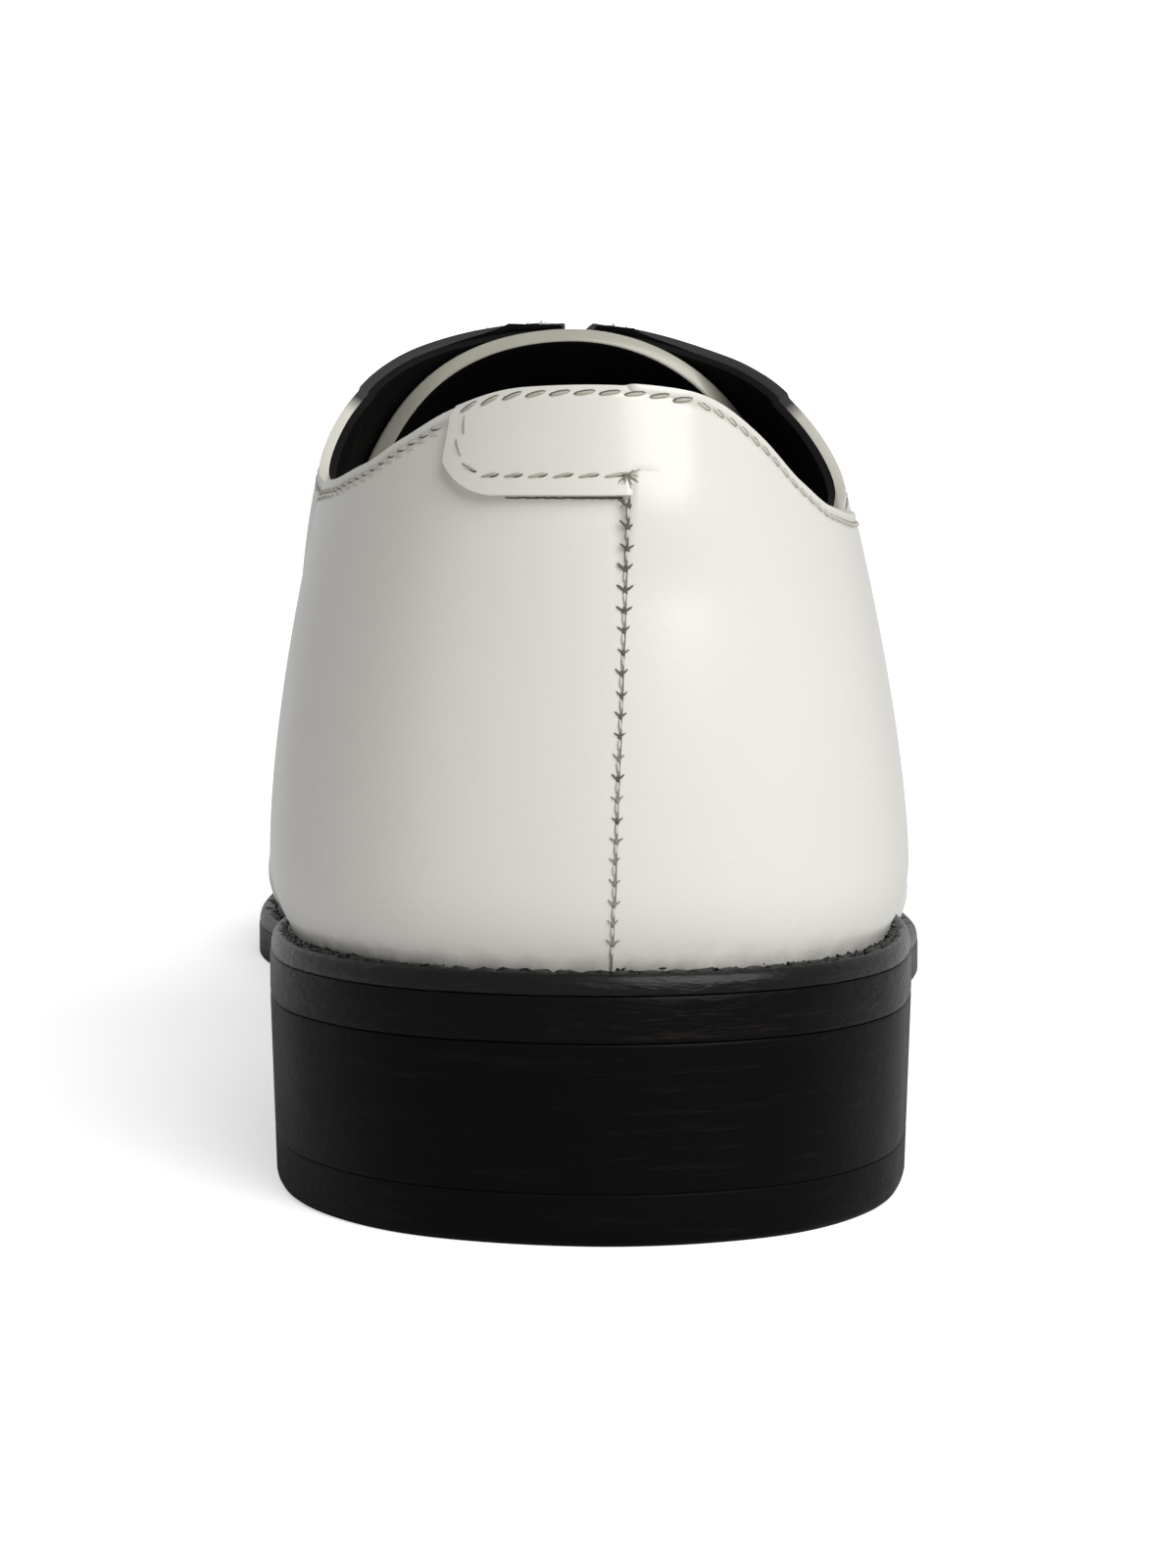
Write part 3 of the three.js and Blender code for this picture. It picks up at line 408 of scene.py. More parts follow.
def trim(loop):
    """The rise at which each section reaches the cut edge, and the millimetres in one unit of rise there."""
    loop = np.asarray(loop, float)
    rises = np.linspace(0, 1, 401)
    keys, back = np.unique(loop, return_inverse=True)
    over = over_edge(last_points(keys[:, None], rises[None, :]))
    first = np.argmax(over > 0, axis=1)
    closed = ~(over > 0).any(axis=1)
    rows = np.arange(len(keys))
    before, after = over[rows, first - 1], np.where(closed, over[rows, first - 1] + 1, over[rows, first])
    edge = rises[first - 1] + (rises[first] - rises[first - 1]) * before / (before - after)
    edge = np.where(closed, 1, edge)
    pace = np.linalg.norm(last_points(keys, edge) - last_points(keys, edge - 0.02), axis=-1) / 0.02
    return edge[back].reshape(loop.shape), pace[back].reshape(loop.shape)


def front_edge(side, rise, ahead):
    """The loop where each rise crosses an edge. ahead gives how far points lie in front of it."""
    rise = np.asarray(rise, float)
    loops = side * np.linspace(0.35, 0.9, 900)
    keys, back = np.unique(rise, return_inverse=True)
    value = ahead(last_points(loops[None, :], keys[:, None]))
    first = np.argmax(value > 0, axis=1)
    rows = np.arange(len(keys))
    before, after = value[rows, first - 1], value[rows, first]
    found = loops[first - 1] + (loops[first] - loops[first - 1]) * before / (before - after)
    return found[back].reshape(rise.shape)


def ahead_of_vamp_seam(points):
    height = points[..., 2] - welt_top(points[..., 1])
    return points[..., 1] - place(VAMP_SEAM.at("along", height))


def ahead_of_cap_seam(points):
    bow = CAP_BOW * (points[..., 0] / (BALL_BREADTH / 2)) ** 2
    return points[..., 1] - (CAP_LINE - HEEL_CENTRE - bow)


# Mesh helpers
def finished(name, bm, material, smooth=True):
    """Writes a mesh as an object that rides on the shoe."""
    mesh = bpy.data.meshes.new(name)
    bm.to_mesh(mesh)
    bm.free()
    for polygon in mesh.polygons:
        polygon.use_smooth = smooth
    piece = bpy.data.objects.new(name, mesh)
    bpy.context.scene.collection.objects.link(piece)
    for each in material if isinstance(material, (list, tuple)) else [material]:
        mesh.materials.append(each)
    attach(piece, "root")
    return piece


def laid_grid(columns, rows, lay, weld=0.0, marks=None):
    """A grid whose points are laid by a function of their shares across and up, then welded where they meet."""
    bm = bmesh.new()
    bmesh.ops.create_grid(bm, x_segments=columns, y_segments=rows, size=0.5)
    flat = np.array([v.co for v in bm.verts])
    across = np.round((flat[:, 0] + 0.5) * columns) / columns
    up = np.round((flat[:, 1] + 0.5) * rows) / rows
    laid = lay(across, up)
    for vertex, point in zip(bm.verts, laid * MM):
        vertex.co = point
    for name, values in (marks or {}).items():
        layer = bm.verts.layers.float.new(name)
        for vertex, value in zip(bm.verts, values(across, up)):
            vertex[layer] = value
    if weld:
        bmesh.ops.remove_doubles(bm, verts=bm.verts, dist=weld * MM)
        bmesh.ops.dissolve_degenerate(bm, edges=bm.edges, dist=0.001 * MM)
    return bm


def give_wall(piece, thickness, inner=0, rim=0, round_edge=0.3, segments=3):
    """A wall under the laid surface, with its edges rounded over."""
    wall = piece.modifiers.new("wall", "SOLIDIFY")
    wall.thickness = thickness * MM
    wall.offset = -1
    wall.material_offset = inner
    wall.material_offset_rim = rim
    soften(piece, round_edge, segments)


def soften(piece, width, segments=2):
    edge = piece.modifiers.new("edge", "BEVEL")
    edge.limit_method = "ANGLE"
    edge.angle_limit = math.radians(50)
    edge.width = width * MM
    edge.segments = segments
    edge.use_clamp_overlap = True


# Materials
def fill_socket(tree, socket, value):
    if isinstance(value, bpy.types.NodeSocket):
        tree.links.new(value, socket)
    else:
        socket.default_value = value


def node(tree, kind, inputs=None, **settings):
    """Adds a node. inputs maps a socket's name or number to a value, or to the output that feeds it."""
    made = tree.nodes.new("ShaderNode" + kind)
    for key, value in settings.items():
        setattr(made, key, value)
    for key, value in (inputs or {}).items():
        fill_socket(tree, made.inputs[key], value)
    return made


def sum_up(tree, operation, *values):
    """The output of a maths node."""
    return node(tree, "Math", dict(enumerate(values)), operation=operation).outputs[0]


def group(name, ins, outs, fill):
    """A shader node group with named inputs and outputs."""
    tree = bpy.data.node_groups.new(name, "ShaderNodeTree")
    for key, kind, value in ins:
        socket = tree.interface.new_socket(key, in_out="INPUT", socket_type=kind)
        if value is not None:
            socket.default_value = value
    for key, kind in outs:
        tree.interface.new_socket(key, in_out="OUTPUT", socket_type=kind)
    source = tree.nodes.new("NodeGroupInput")
    sink = tree.nodes.new("NodeGroupOutput")
    for key, output in fill(tree, source.outputs).items():
        tree.links.new(output, sink.inputs[key])
    return tree


def placed(tree, shared, inputs):
    made = node(tree, "Group", node_tree=shared)
    for key, value in inputs.items():
        fill_socket(tree, made.inputs[key], value)
    return made


def fill_grain(tree, given):
    """Fine pores of finished leather over slow unevenness."""
    fine = node(tree, "TexNoise", {"Vector": given["Vector"], "Scale": given["Fineness"], "Detail": 3.0})
    slow = node(tree, "TexNoise", {"Vector": given["Vector"], "Scale": 70.0, "Detail": 2.0})
    pores = node(tree, "TexVoronoi", {"Vector": given["Vector"], "Scale": given["Fineness"]})
    deep = sum_up(tree, "MULTIPLY", fine.outputs["Fac"], 0.6)
    both = sum_up(tree, "MULTIPLY_ADD", pores.outputs["Distance"], 0.35, deep)
    height = sum_up(tree, "MULTIPLY_ADD", slow.outputs["Fac"], given["Slow"], both)
    return {"Height": height}


def fill_mottle(tree, given):
    """Soft patches, from 0 to 1."""
    patch = node(tree, "TexNoise",
                 {"Vector": given["Vector"], "Scale": given["Scale"], "Detail": 4.0, "Roughness": 0.6})
    mask = node(tree, "MapRange", {"Value": patch.outputs["Fac"], "From Min": 0.15, "From Max": 0.85},
                interpolation_type="SMOOTHSTEP")
    return {"Mask": mask.outputs["Result"]}


def fill_specks(tree, given):
    """Small marks scattered over a surface."""
    cells = node(tree, "TexVoronoi", {"Vector": given["Vector"], "Scale": given["Scale"]})
    chance = node(tree, "SeparateColor", {"Color": cells.outputs["Color"]})
    near = node(tree, "MapRange", {"Value": cells.outputs["Distance"], "From Min": 0.06, "From Max": 0.03})
    picked = sum_up(tree, "LESS_THAN", chance.outputs[0], given["Share"])
    mask = sum_up(tree, "MULTIPLY", near.outputs["Result"], picked)
    return {"Mask": mask}


def fill_scuffs(tree, given):
    """Long faint scratches along the given stretch."""
    scaled = node(tree, "VectorMath", {0: given["Vector"], 1: given["Stretch"]}, operation="MULTIPLY")
    lines = node(tree, "TexNoise", {"Vector": scaled.outputs[0], "Scale": 60.0, "Detail": 5.0,
                                              "Roughness": 0.7})
    mask = node(tree, "MapRange", {"Value": lines.outputs["Fac"], "From Min": 0.56, "From Max": 0.78})
    return {"Mask": mask.outputs["Result"]}


VECTOR = ("Vector", "NodeSocketVector", None)
NUMBER = "NodeSocketFloat"
GRAIN = group("leather_grain", [VECTOR, ("Fineness", NUMBER, 900.0), ("Slow", NUMBER, 0.5)],
              [("Height", NUMBER)], fill_grain)
MOTTLE = group("mottle", [VECTOR, ("Scale", NUMBER, 30.0)], [("Mask", NUMBER)], fill_mottle)
SPECKS = group("specks", [VECTOR, ("Scale", NUMBER, 120.0), ("Share", NUMBER, 0.05)],
               [("Mask", NUMBER)], fill_specks)
SCUFFS = group("scuffs", [VECTOR, ("Stretch", "NodeSocketVector", (1.0, 1.0, 1.0))], [("Mask", NUMBER)],
               fill_scuffs)


def blend_colour(tree, amount, first, second):
    made = node(tree, "Mix", {"Factor": amount}, data_type="RGBA")
    for socket, value in ((made.inputs[6], first), (made.inputs[7], second)):
        fill_socket(tree, socket, (*value, 1) if isinstance(value, tuple) else value)
    return made.outputs[2]


def started(name, colour, **sockets):
    """A material with its shader, and the place of each point on the object."""
    material = bpy.data.materials.new(name)
    material.use_nodes = True
    material.diffuse_color = (*colour, 1)
    tree = material.node_tree
    shader = tree.nodes["Principled BSDF"]
    for key, value in sockets.items():
        shader.inputs[key.replace("_", " ")].default_value = value
    where = tree.nodes.new("ShaderNodeTexCoord").outputs["Object"]
    return material, tree, shader, where


def feed(tree, shader, **outputs):
    for key, output in outputs.items():
        tree.links.new(output, shader.inputs[key.replace("_", " ")])


def bumped(tree, shader, height, distance, strength=1.0):
    bump = node(tree, "Bump", {"Height": height, "Distance": distance * MM, "Strength": strength})
    feed(tree, shader, Normal=bump.outputs["Normal"])


def ranged(tree, value, low, high, start=0.0, end=1.0):
    made = node(tree, "MapRange",
                {"Value": value, "From Min": start, "From Max": end, "To Min": low, "To Max": high})
    return made.outputs["Result"]


def calf(name, colour, shade, seam_line=False):
    """Polished ivory calf: slow mottling, fine pores, and painted shade in the stitch grooves where the stitches
    draw it in, where the upper meets the welt and, with seam_line, down the back seam.
    """
    material, tree, shader, where = started(
        name, colour, Coat_Weight=0.3, Coat_Roughness=0.16, Specular_IOR_Level=0.42, Coat_IOR=1.45)
    patches = placed(tree, MOTTLE, {"Vector": where, "Scale": 26.0}).outputs["Mask"]
    marks = placed(tree, SPECKS, {"Vector": where, "Scale": 95.0, "Share": 0.035}).outputs["Mask"]
    grain = placed(tree, GRAIN, {"Vector": where, "Fineness": 1500.0, "Slow": 0.5}).outputs["Height"]
    tinted = blend_colour(tree, ranged(tree, patches, 0.0, 1.0), colour, shade)
    # Painted shade in the stitch grooves: the colour darkens along the stitch rows.
    stitch_groove_shade = node(tree, "Attribute", attribute_name="stitch_groove_shade").outputs["Fac"]
    tinted = blend_colour(tree, ranged(tree, stitch_groove_shade, 0.0, 0.45), tinted, (0.36, 0.34, 0.29))
    tinted = blend_colour(tree, ranged(tree, marks, 0.0, 0.55), tinted, (0.12, 0.10, 0.08))
    # Painted shade along the line where the upper meets the welt, broken up by noise.
    welt_shade_mask = node(tree, "Attribute", attribute_name="welt_edge_shade").outputs["Fac"]
    shade_breakup = node(tree, "TexNoise", {"Vector": where, "Scale": 420.0, "Detail": 4.0}).outputs["Fac"]
    painted_welt_shade = sum_up(tree, "MULTIPLY", welt_shade_mask, ranged(tree, shade_breakup, 0.1, 0.75, 0.3, 0.7))
    tinted = blend_colour(tree, painted_welt_shade, tinted, (0.10, 0.095, 0.085))
    inked = node(tree, "Attribute", attribute_name="inked").outputs["Fac"]
    tinted = blend_colour(tree, ranged(tree, inked, 0.0, 1.0, 0.2, 0.6), tinted, (0.006, 0.006, 0.006))
    height = grain
    if seam_line:
        # Painted shade along the back seam's groove, which the bump also sinks.
        line = back_seam_shade_mask(tree, where)
        tinted = blend_colour(tree, ranged(tree, line, 0.0, 0.72), tinted, (0.10, 0.095, 0.08))
        height = sum_up(tree, "MULTIPLY_ADD", line, -12.0, grain)
    polish = ranged(tree, patches, 0.24, 0.34)
    feed(tree, shader, Base_Color=tinted,
         Roughness=sum_up(tree, "MULTIPLY_ADD", inked, 0.4, polish))
    bumped(tree, shader, height, 0.014)
    return material


def back_seam_shade_mask(tree, where):
    """A hair line of painted shade down the back of the heel, in the groove where the two quarters are closed."""
    parts = node(tree, "SeparateXYZ", {"Vector": where})
    x, y, z = (parts.outputs[k] for k in range(3))
    drop = sum_up(tree, "MULTIPLY_ADD", z, -SEAM_LEAN, SEAM_LEAN * tab_low * MM)
    wave = node(tree, "TexNoise", {"Vector": where, "Scale": 260.0, "Detail": 1.0}).outputs["Fac"]
    drift = sum_up(tree, "MULTIPLY_ADD", wave, 0.3 * MM, drop)
    aside = sum_up(tree, "ADD", x, drift)
    away = sum_up(tree, "SUBTRACT", aside, (SEAM_OFFSET + 0.15) * MM)
    distance = sum_up(tree, "ABSOLUTE", away)
    thin = ranged(tree, distance, 1.0, 0.0, 0.06 * MM, 0.2 * MM)
    behind = ranged(tree, y, 1.0, 0.0, -16 * MM, -14 * MM)
    below = ranged(tree, z, 1.0, 0.0, (tab_low - 0.3) * MM, (tab_low + 0.1) * MM)
    both = sum_up(tree, "MULTIPLY", thin, behind)
    return sum_up(tree, "MULTIPLY", both, below)


def blacked(name, roughness, stretch, specular=0.05, coat=0.02, wrinkles=0.0, tint=(0.022, 0.018, 0.016)):
    """Sole leather or rubber, dyed black and burnished: scratches along it, dust in its pits."""
    colour = (0.0016, 0.0016, 0.0016)
    material, tree, shader, where = started(
        name, colour, Specular_IOR_Level=specular, Coat_Weight=coat, Coat_Roughness=0.2)
    scratches = placed(tree, SCUFFS, {"Vector": where, "Stretch": stretch}).outputs["Mask"]
    patches = placed(tree, MOTTLE, {"Vector": where, "Scale": 60.0}).outputs["Mask"]
    dust = placed(tree, SPECKS, {"Vector": where, "Scale": 230.0, "Share": 0.05}).outputs["Mask"]
    grain = placed(tree, GRAIN, {"Vector": where, "Fineness": 800.0, "Slow": 1.2}).outputs["Height"]
    tinted = blend_colour(tree, ranged(tree, scratches, 0.0, 0.3 + 0.5 * wrinkles), colour, tint)
    tinted = blend_colour(tree, ranged(tree, dust, 0.0, 0.8), tinted, (0.2, 0.19, 0.17))
    feed(tree, shader, Base_Color=tinted, Roughness=ranged(tree, patches, roughness, roughness + 0.14))
    height = sum_up(tree, "MULTIPLY_ADD", scratches, -1.0, grain)
    if wrinkles:
        squeezed = node(tree, "VectorMath", {0: where, 1: (1.0, 1.0, 5.0)}, operation="MULTIPLY").outputs[0]
        folds = node(tree, "TexNoise",
                     {"Vector": squeezed, "Scale": 330.0, "Detail": 4.0, "Distortion": 0.6}).outputs["Fac"]
        height = sum_up(tree, "MULTIPLY_ADD", folds, 3.0 * wrinkles, height)
    bumped(tree, shader, height, 0.06)
    return material


def lining_leather(name):
    material, tree, shader, where = started(name, (0.006, 0.006, 0.006), Specular_IOR_Level=0.06)
    patches = placed(tree, MOTTLE, {"Vector": where, "Scale": 40.0}).outputs["Mask"]
    grain = placed(tree, GRAIN, {"Vector": where, "Fineness": 1100.0, "Slow": 0.8}).outputs["Height"]
    feed(tree, shader, Base_Color=blend_colour(tree, patches, (0.004, 0.004, 0.004), (0.010, 0.009, 0.009)),
         Roughness=ranged(tree, patches, 0.55, 0.75))
    bumped(tree, shader, grain, 0.05)
    return material


def spun(name, colour, shade, twist=900.0):
    """Waxed thread: fine diagonal strands."""
    material, tree, shader, where = started(name, colour, Specular_IOR_Level=0.3)
    strands = node(tree, "TexNoise", {"Vector": where, "Scale": twist, "Detail": 2.0}).outputs["Fac"]
    feed(tree, shader, Base_Color=blend_colour(tree, strands, colour, shade),
         Roughness=ranged(tree, strands, 0.45, 0.7))
    bumped(tree, shader, strands, 0.06)
    return material


def braided(name):
    """Round cotton lace, read on its own marks along and around."""
    material, tree, shader, where = started(
        name, (0.70, 0.68, 0.62), Specular_IOR_Level=0.25, Sheen_Weight=0.15)
    run = node(tree, "Attribute", attribute_name="run").outputs["Fac"]
    turn = node(tree, "Attribute", attribute_name="turn").outputs["Fac"]
    both = []
    for hand in (1.0, -1.0):
        spun_angle = sum_up(tree, "MULTIPLY_ADD", turn, 4.0 * hand, 0.0)
        phase = sum_up(tree, "MULTIPLY_ADD", run, 3.6, spun_angle)
        both.append(sum_up(tree, "SINE", phase))
    weave = sum_up(tree, "MULTIPLY", both[0], both[1])
    height = ranged(tree, weave, 0.0, 1.0, -1.0, 1.0)
    fuzz = node(tree, "TexNoise", {"Vector": where, "Scale": 1600.0}).outputs["Fac"]
    # The colour darkens where the weave sinks: painted shade in the braid's hollows.
    feed(tree, shader, Base_Color=blend_colour(tree, height, (0.42, 0.40, 0.35), (0.74, 0.72, 0.66)),
         Roughness=ranged(tree, fuzz, 0.6, 0.85))
    bumped(tree, shader, height, 0.12)
    return material


tab_low = float(welt_top(np.array(-HEEL_CENTRE))) + BACK_HEIGHT - TAB_HEIGHT
IVORY = calf("ivory_calf", (0.80, 0.785, 0.735), (0.765, 0.745, 0.685), seam_line=True)
IVORY_TAB = calf("ivory_calf_tab", (0.80, 0.785, 0.735), (0.775, 0.755, 0.695))
IVORY_EDGE = calf("ivory_cut_edge", (0.72, 0.70, 0.62), (0.62, 0.60, 0.52))
TONGUE_EDGE = calf("tongue_cut_edge", (0.52, 0.50, 0.42), (0.36, 0.35, 0.29))
LINING = lining_leather("black_lining")
SOLE_BLACK = blacked("burnished_heel", 0.36, (1.0, 1.0, 14.0))
EDGE_BLACK = blacked("sole_edge_black", 0.3, (1.0, 1.0, 9.0), 0.07, 0.04, 0.8, (0.03, 0.018, 0.014))
WELT_BLACK = blacked("welt_black", 0.25, (1.0, 1.0, 6.0), 0.16, 0.12, 1.0, (0.02, 0.017, 0.015))
RUBBER_BLACK = blacked("rubber_black", 0.42, (1.0, 1.0, 10.0), 0.06, 0.0)
IVORY_THREAD = spun("ivory_thread", (0.70, 0.68, 0.60), (0.50, 0.48, 0.41))
TAB_THREAD = spun("tab_thread", (0.56, 0.54, 0.45), (0.36, 0.345, 0.28))
BLACK_THREAD = spun("black_thread", (0.035, 0.033, 0.03), (0.012, 0.012, 0.012))
# Dark bars of painted shade: the needles' slot shading beside stitches, the back seam's prongs, and the shadow
# line under the tab.
NEEDLE_SHADE = spun("needle_slot_shade", (0.16, 0.155, 0.125), (0.07, 0.068, 0.055))
# A fainter painted slot shade, for the back seam's lower prongs.
FAINT_SLOT_SHADE = spun("faint_needle_shade", (0.34, 0.33, 0.28), (0.18, 0.175, 0.145))
LACE = braided("ivory_lace")


# The quarters and their lining
QUARTER_END = float(loop_of(0.70))
BAND = 8.0  # strip under the cut edge that holds the finer rows
BAND_SHARE = 0.45


def tab_swell(points):
    """How far the outer quarter stands up where the heel tab grows out of it."""
    x, y, z = points[..., 0], points[..., 1], points[..., 2]
    outer = x - SEAM_OFFSET + SEAM_LEAN * np.maximum(tab_low - z, 0)
    across = fade(-0.7, 0.4, outer) * (1 - fade(4, TAB_FADE, outer))
    upward = fade(tab_low - 10, tab_low, z)
    return TAB_LAYER * across * upward * (y < 0)


def quarter_place(across, up, reach):
    """Columns stand closer at the tops of the facings, where the cut edge turns up to the crest."""
    turn = 2 * across - 1
    loop = np.sign(turn) * np.interp(np.abs(turn), [0, 0.62, 0.86, 1], [0, 0.462, 0.486, reach])
    edge, pace = trim(loop)
    band = BAND / pace
    low = up / (1 - BAND_SHARE) * (edge - band)
    high = edge - band * (1 - up) / BAND_SHARE
    return loop, np.where(up < 1 - BAND_SHARE, low, high), edge, pace


def quarter_surface(across, up):
    loop, rise, edge, pace = quarter_place(across, up, QUARTER_END)
    points = last_points(loop, rise)
    under = (edge - rise) * pace
    swell = tab_swell(points)
    trough = -0.12 * np.exp(-(((under - 1.15) / 0.45) ** 2)) * (under < 4)
    points = points + last_normals(loop, rise) * (swell + trough)[:, None]
    points[:, 2] -= FOOT_SINK * (up == 0)
    return points


# Mask of the painted shade in the groove along the topline's stitch row.
def quarter_groove_shade(across, up):
    loop, rise, edge, pace = quarter_place(across, up, QUARTER_END)
    under = (edge - rise) * pace
    return np.exp(-(((under - 1.15) / 0.4) ** 2)) * (edge < 0.9999)


def welt_edge_shade(points):
    """Mask of the painted shade where the upper meets the welt: 1 there, and nothing a few millimetres above it.
    """
    height = points[..., 2] - welt_top(points[..., 1])
    return np.exp(-np.clip(height, 0, None) / 1.0)


def quarter_ink(across, up):
    """The cut edge is black at the tops of the facings."""
    loop, rise, edge, pace = quarter_place(across, up, QUARTER_END)
    y = last_points(loop, rise)[:, 1]
    return fade(0.5, 0.15, (edge - rise) * pace) * fade(66, 77, y) * (1 - fade(92, 95, y))


def lining_surface(across, up):
    loop, rise, edge, pace = quarter_place(across, up, 1.0)
    points = last_points(loop, rise)
    lowered = 0.45 * (1 - fade(45, 70, points[:, 1])) / pace
    rise = np.maximum(rise - lowered * (up > 1 - BAND_SHARE), 0)
    points = on_last(loop, rise, np.full(len(loop), -LEATHER - 0.02))
    points[:, 2] -= FOOT_SINK * (up == 0)
    return points


def punch(bm, centre, radius):
    """A round hole: the faces inside it go, and the rim moves onto the circle."""
    gone = [f for f in bm.faces if (f.calc_center_median() - centre).length < radius]
    bmesh.ops.delete(bm, geom=gone, context="FACES")
    for vertex in bm.verts:
        away = vertex.co - centre
        if vertex.is_boundary and away.length < 2 * radius:
            vertex.co = centre + away.normalized() * radius


EYELET_ROWS = np.linspace(FACING_TOP + EYELET_MARGIN, THROAT - EYELET_MARGIN, EYELET_PAIRS) - HEEL_CENTRE
EYELET_REACH = FACING_GAP / 2 + EYELET_INSET


def plan_places(x, y):
    """Places on the last under points of the plan, near the crest."""
    side = np.where(x > crest_across(y), 1.0, -1.0)
    guess = side * loop_of(np.interp(y, CREST[:, 1], np.linspace(0.3, 1, 400)))
    return find(np.stack([x, y], axis=-1), [0, 1], guess, np.full_like(y, 0.8))


def eyelet_places(side):
    return plan_places(crest_across(EYELET_ROWS) + side * EYELET_REACH, EYELET_ROWS)


def make_quarters():
    bm = laid_grid(520, 60, quarter_surface, marks={
        "stitch_groove_shade": quarter_groove_shade,
        "inked": quarter_ink,
        "welt_edge_shade": lambda across, up: welt_edge_shade(last_points(*quarter_place(across, up, QUARTER_END)[:2])),
    })
    for side in (1, -1):
        for centre in on_last(*eyelet_places(side), np.zeros(EYELET_PAIRS)):
            punch(bm, Vector(centre) * MM, EYELET_RADIUS * MM)
    piece = finished("quarters", bm, [IVORY, LINING, IVORY_EDGE])
    give_wall(piece, LEATHER, inner=1, rim=2, round_edge=0.45)
    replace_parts(piece, "upper")
    return piece


def make_lining():
    bm = laid_grid(360, 36, lining_surface, weld=0.05)
    piece = finished("lining", bm, LINING)
    give_wall(piece, WALL - LEATHER, round_edge=0.25, segments=2)
    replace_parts(piece, "upper")


# The vamp and the toe cap
CREASES = ((0.625, 3.4, 0.30), (0.652, 2.6, 0.22), (0.684, 3.8, 0.26))  # share along, breadth, depth


def flexed(points):
    """Soft troughs where the forepart bends."""
    depth = 0
    for along, breadth, deep in CREASES:
        line = place(along) - 0.004 * (points[..., 0] - crest_across(points[..., 1])) ** 2
        depth = depth - deep * np.exp(-(((points[..., 1] - line) / breadth) ** 2))
    return depth * fade(22, 40, points[..., 2])


def forepart_places(across, up, ahead):
    """A grid round the toe, from an edge on the outer side to the same edge on the inner side."""
    turn = 2 * across - 1
    outer, inner = front_edge(1, up, ahead), front_edge(-1, up, ahead)
    return np.where(turn < 0, 1 + turn * (1 - outer), -1 + turn * (1 + inner))


def forepart(name, ahead, offset, columns, rows, bend):
    def lay(across, up):
        loop = forepart_places(across, up, ahead)
        points = last_points(loop, up)
        points = points + last_normals(loop, up) * (offset + bend(points))[:, None]
        points[:, 2] -= FOOT_SINK * (up == 0)
        return points

    # Mask of the painted shade in the groove beside the seam's edge, along its stitch rows.
    def seam_groove_shade(across, up):
        loop = forepart_places(across, up, ahead)
        edge = np.where(loop > 0, front_edge(1, up, ahead), front_edge(-1, up, ahead))
        inside = np.linalg.norm(last_points(loop, up) - last_points(edge, up), axis=-1)
        return np.exp(-(((inside - 1.9) / 0.7) ** 2))

    bm = laid_grid(columns, rows, lay, weld=0.04, marks={
        "stitch_groove_shade": seam_groove_shade,
        "welt_edge_shade": lambda across, up: welt_edge_shade(last_points(forepart_places(across, up, ahead), up)),
    })
    piece = finished(name, bm, [IVORY, IVORY_EDGE])
    give_wall(piece, OVERLAY, inner=1, rim=1, round_edge=0.4)
    return piece


def make_vamp():
    piece = forepart("vamp", ahead_of_vamp_seam, OVERLAY, 280, 48, flexed)
    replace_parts(piece, "upper")


def make_toe_cap():
    over = 2 * OVERLAY + CLEARANCE
    piece = forepart("toe_cap_leather", ahead_of_cap_seam, over, 220, 48, lambda p: 0 * p[..., 0])
    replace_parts(piece, "toe_cap")


# The heel tab
def tab_floor(x):
    """Height of the tab's lower edge, with its rounded inner corner."""
    corner = np.clip((TAB_CORNER - TAB_REACH - x) / TAB_CORNER, 0, 1)
    return tab_low + TAB_CORNER * (1 - np.sqrt(1 - corner * corner))


def heel_places(x, z):
    """Places on the back of the heel, seen from behind."""
    guess = 0.0016 * (x - HALVES[1][0][0, 0]) * 3
    return find(np.stack([x, z], axis=-1), [0, 2], guess, np.full_like(x, 0.5))


def measure_topline():
    """Heights of the cut edge across the back of the heel."""
    loops = np.linspace(-0.3, 0.3, 400)
    edge, _pace = trim(loops)
    points = last_points(loops, edge)
    behind = points[:, 1] < 0
    order = np.argsort(points[behind, 0])
    return points[behind][order]


def back_topline(x):
    """Height of the cut edge over each place across the back."""
    return np.interp(x, TOPLINE_BEHIND[:, 0], TOPLINE_BEHIND[:, 2])


def tab_slant(z):
    """How far the tab's inner edge leans in towards the seam at a height."""
    return TAB_SLANT * np.clip((z - tab_low - 0.7 * TAB_CORNER) / (TAB_HEIGHT - 0.7 * TAB_CORNER), 0, 1)


def tab_surface(across, up):
    reach = TAB_REACH - 0.35
    x = -reach + (reach + SEAM_OFFSET + 7) * across**1.25
    low = tab_floor(x)
    high = back_topline(x)
    x = x + (1 - across) ** 3 * tab_slant(low + (high - low) * up)
    z = low + (back_topline(x) - 0.08 - low) * up
    loop, rise = heel_places(x, z)
    under_edge = (1 - up) * (high - low)
    rolled = 0.6 * (1 - fade(0, 1.1, under_edge))
    past_seam = fade(SEAM_OFFSET - 0.1, SEAM_OFFSET + 0.6, x)
    sunk = 0.25 * np.maximum(fade(SEAM_OFFSET + 2, SEAM_OFFSET + 6, x), past_seam * (1 - fade(0.3, 3, z - low)))
    return on_last(loop, rise, TAB_LAYER + 0.04 - rolled - sunk)


TOPLINE_BEHIND = measure_topline()


def make_heel_tab():
    bm = laid_grid(110, 44, tab_surface)
    piece = finished("heel_tab", bm, [IVORY_TAB, IVORY_EDGE])
    give_wall(piece, TAB_LAYER, inner=1, rim=0, round_edge=0.4)
    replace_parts(piece, "upper")


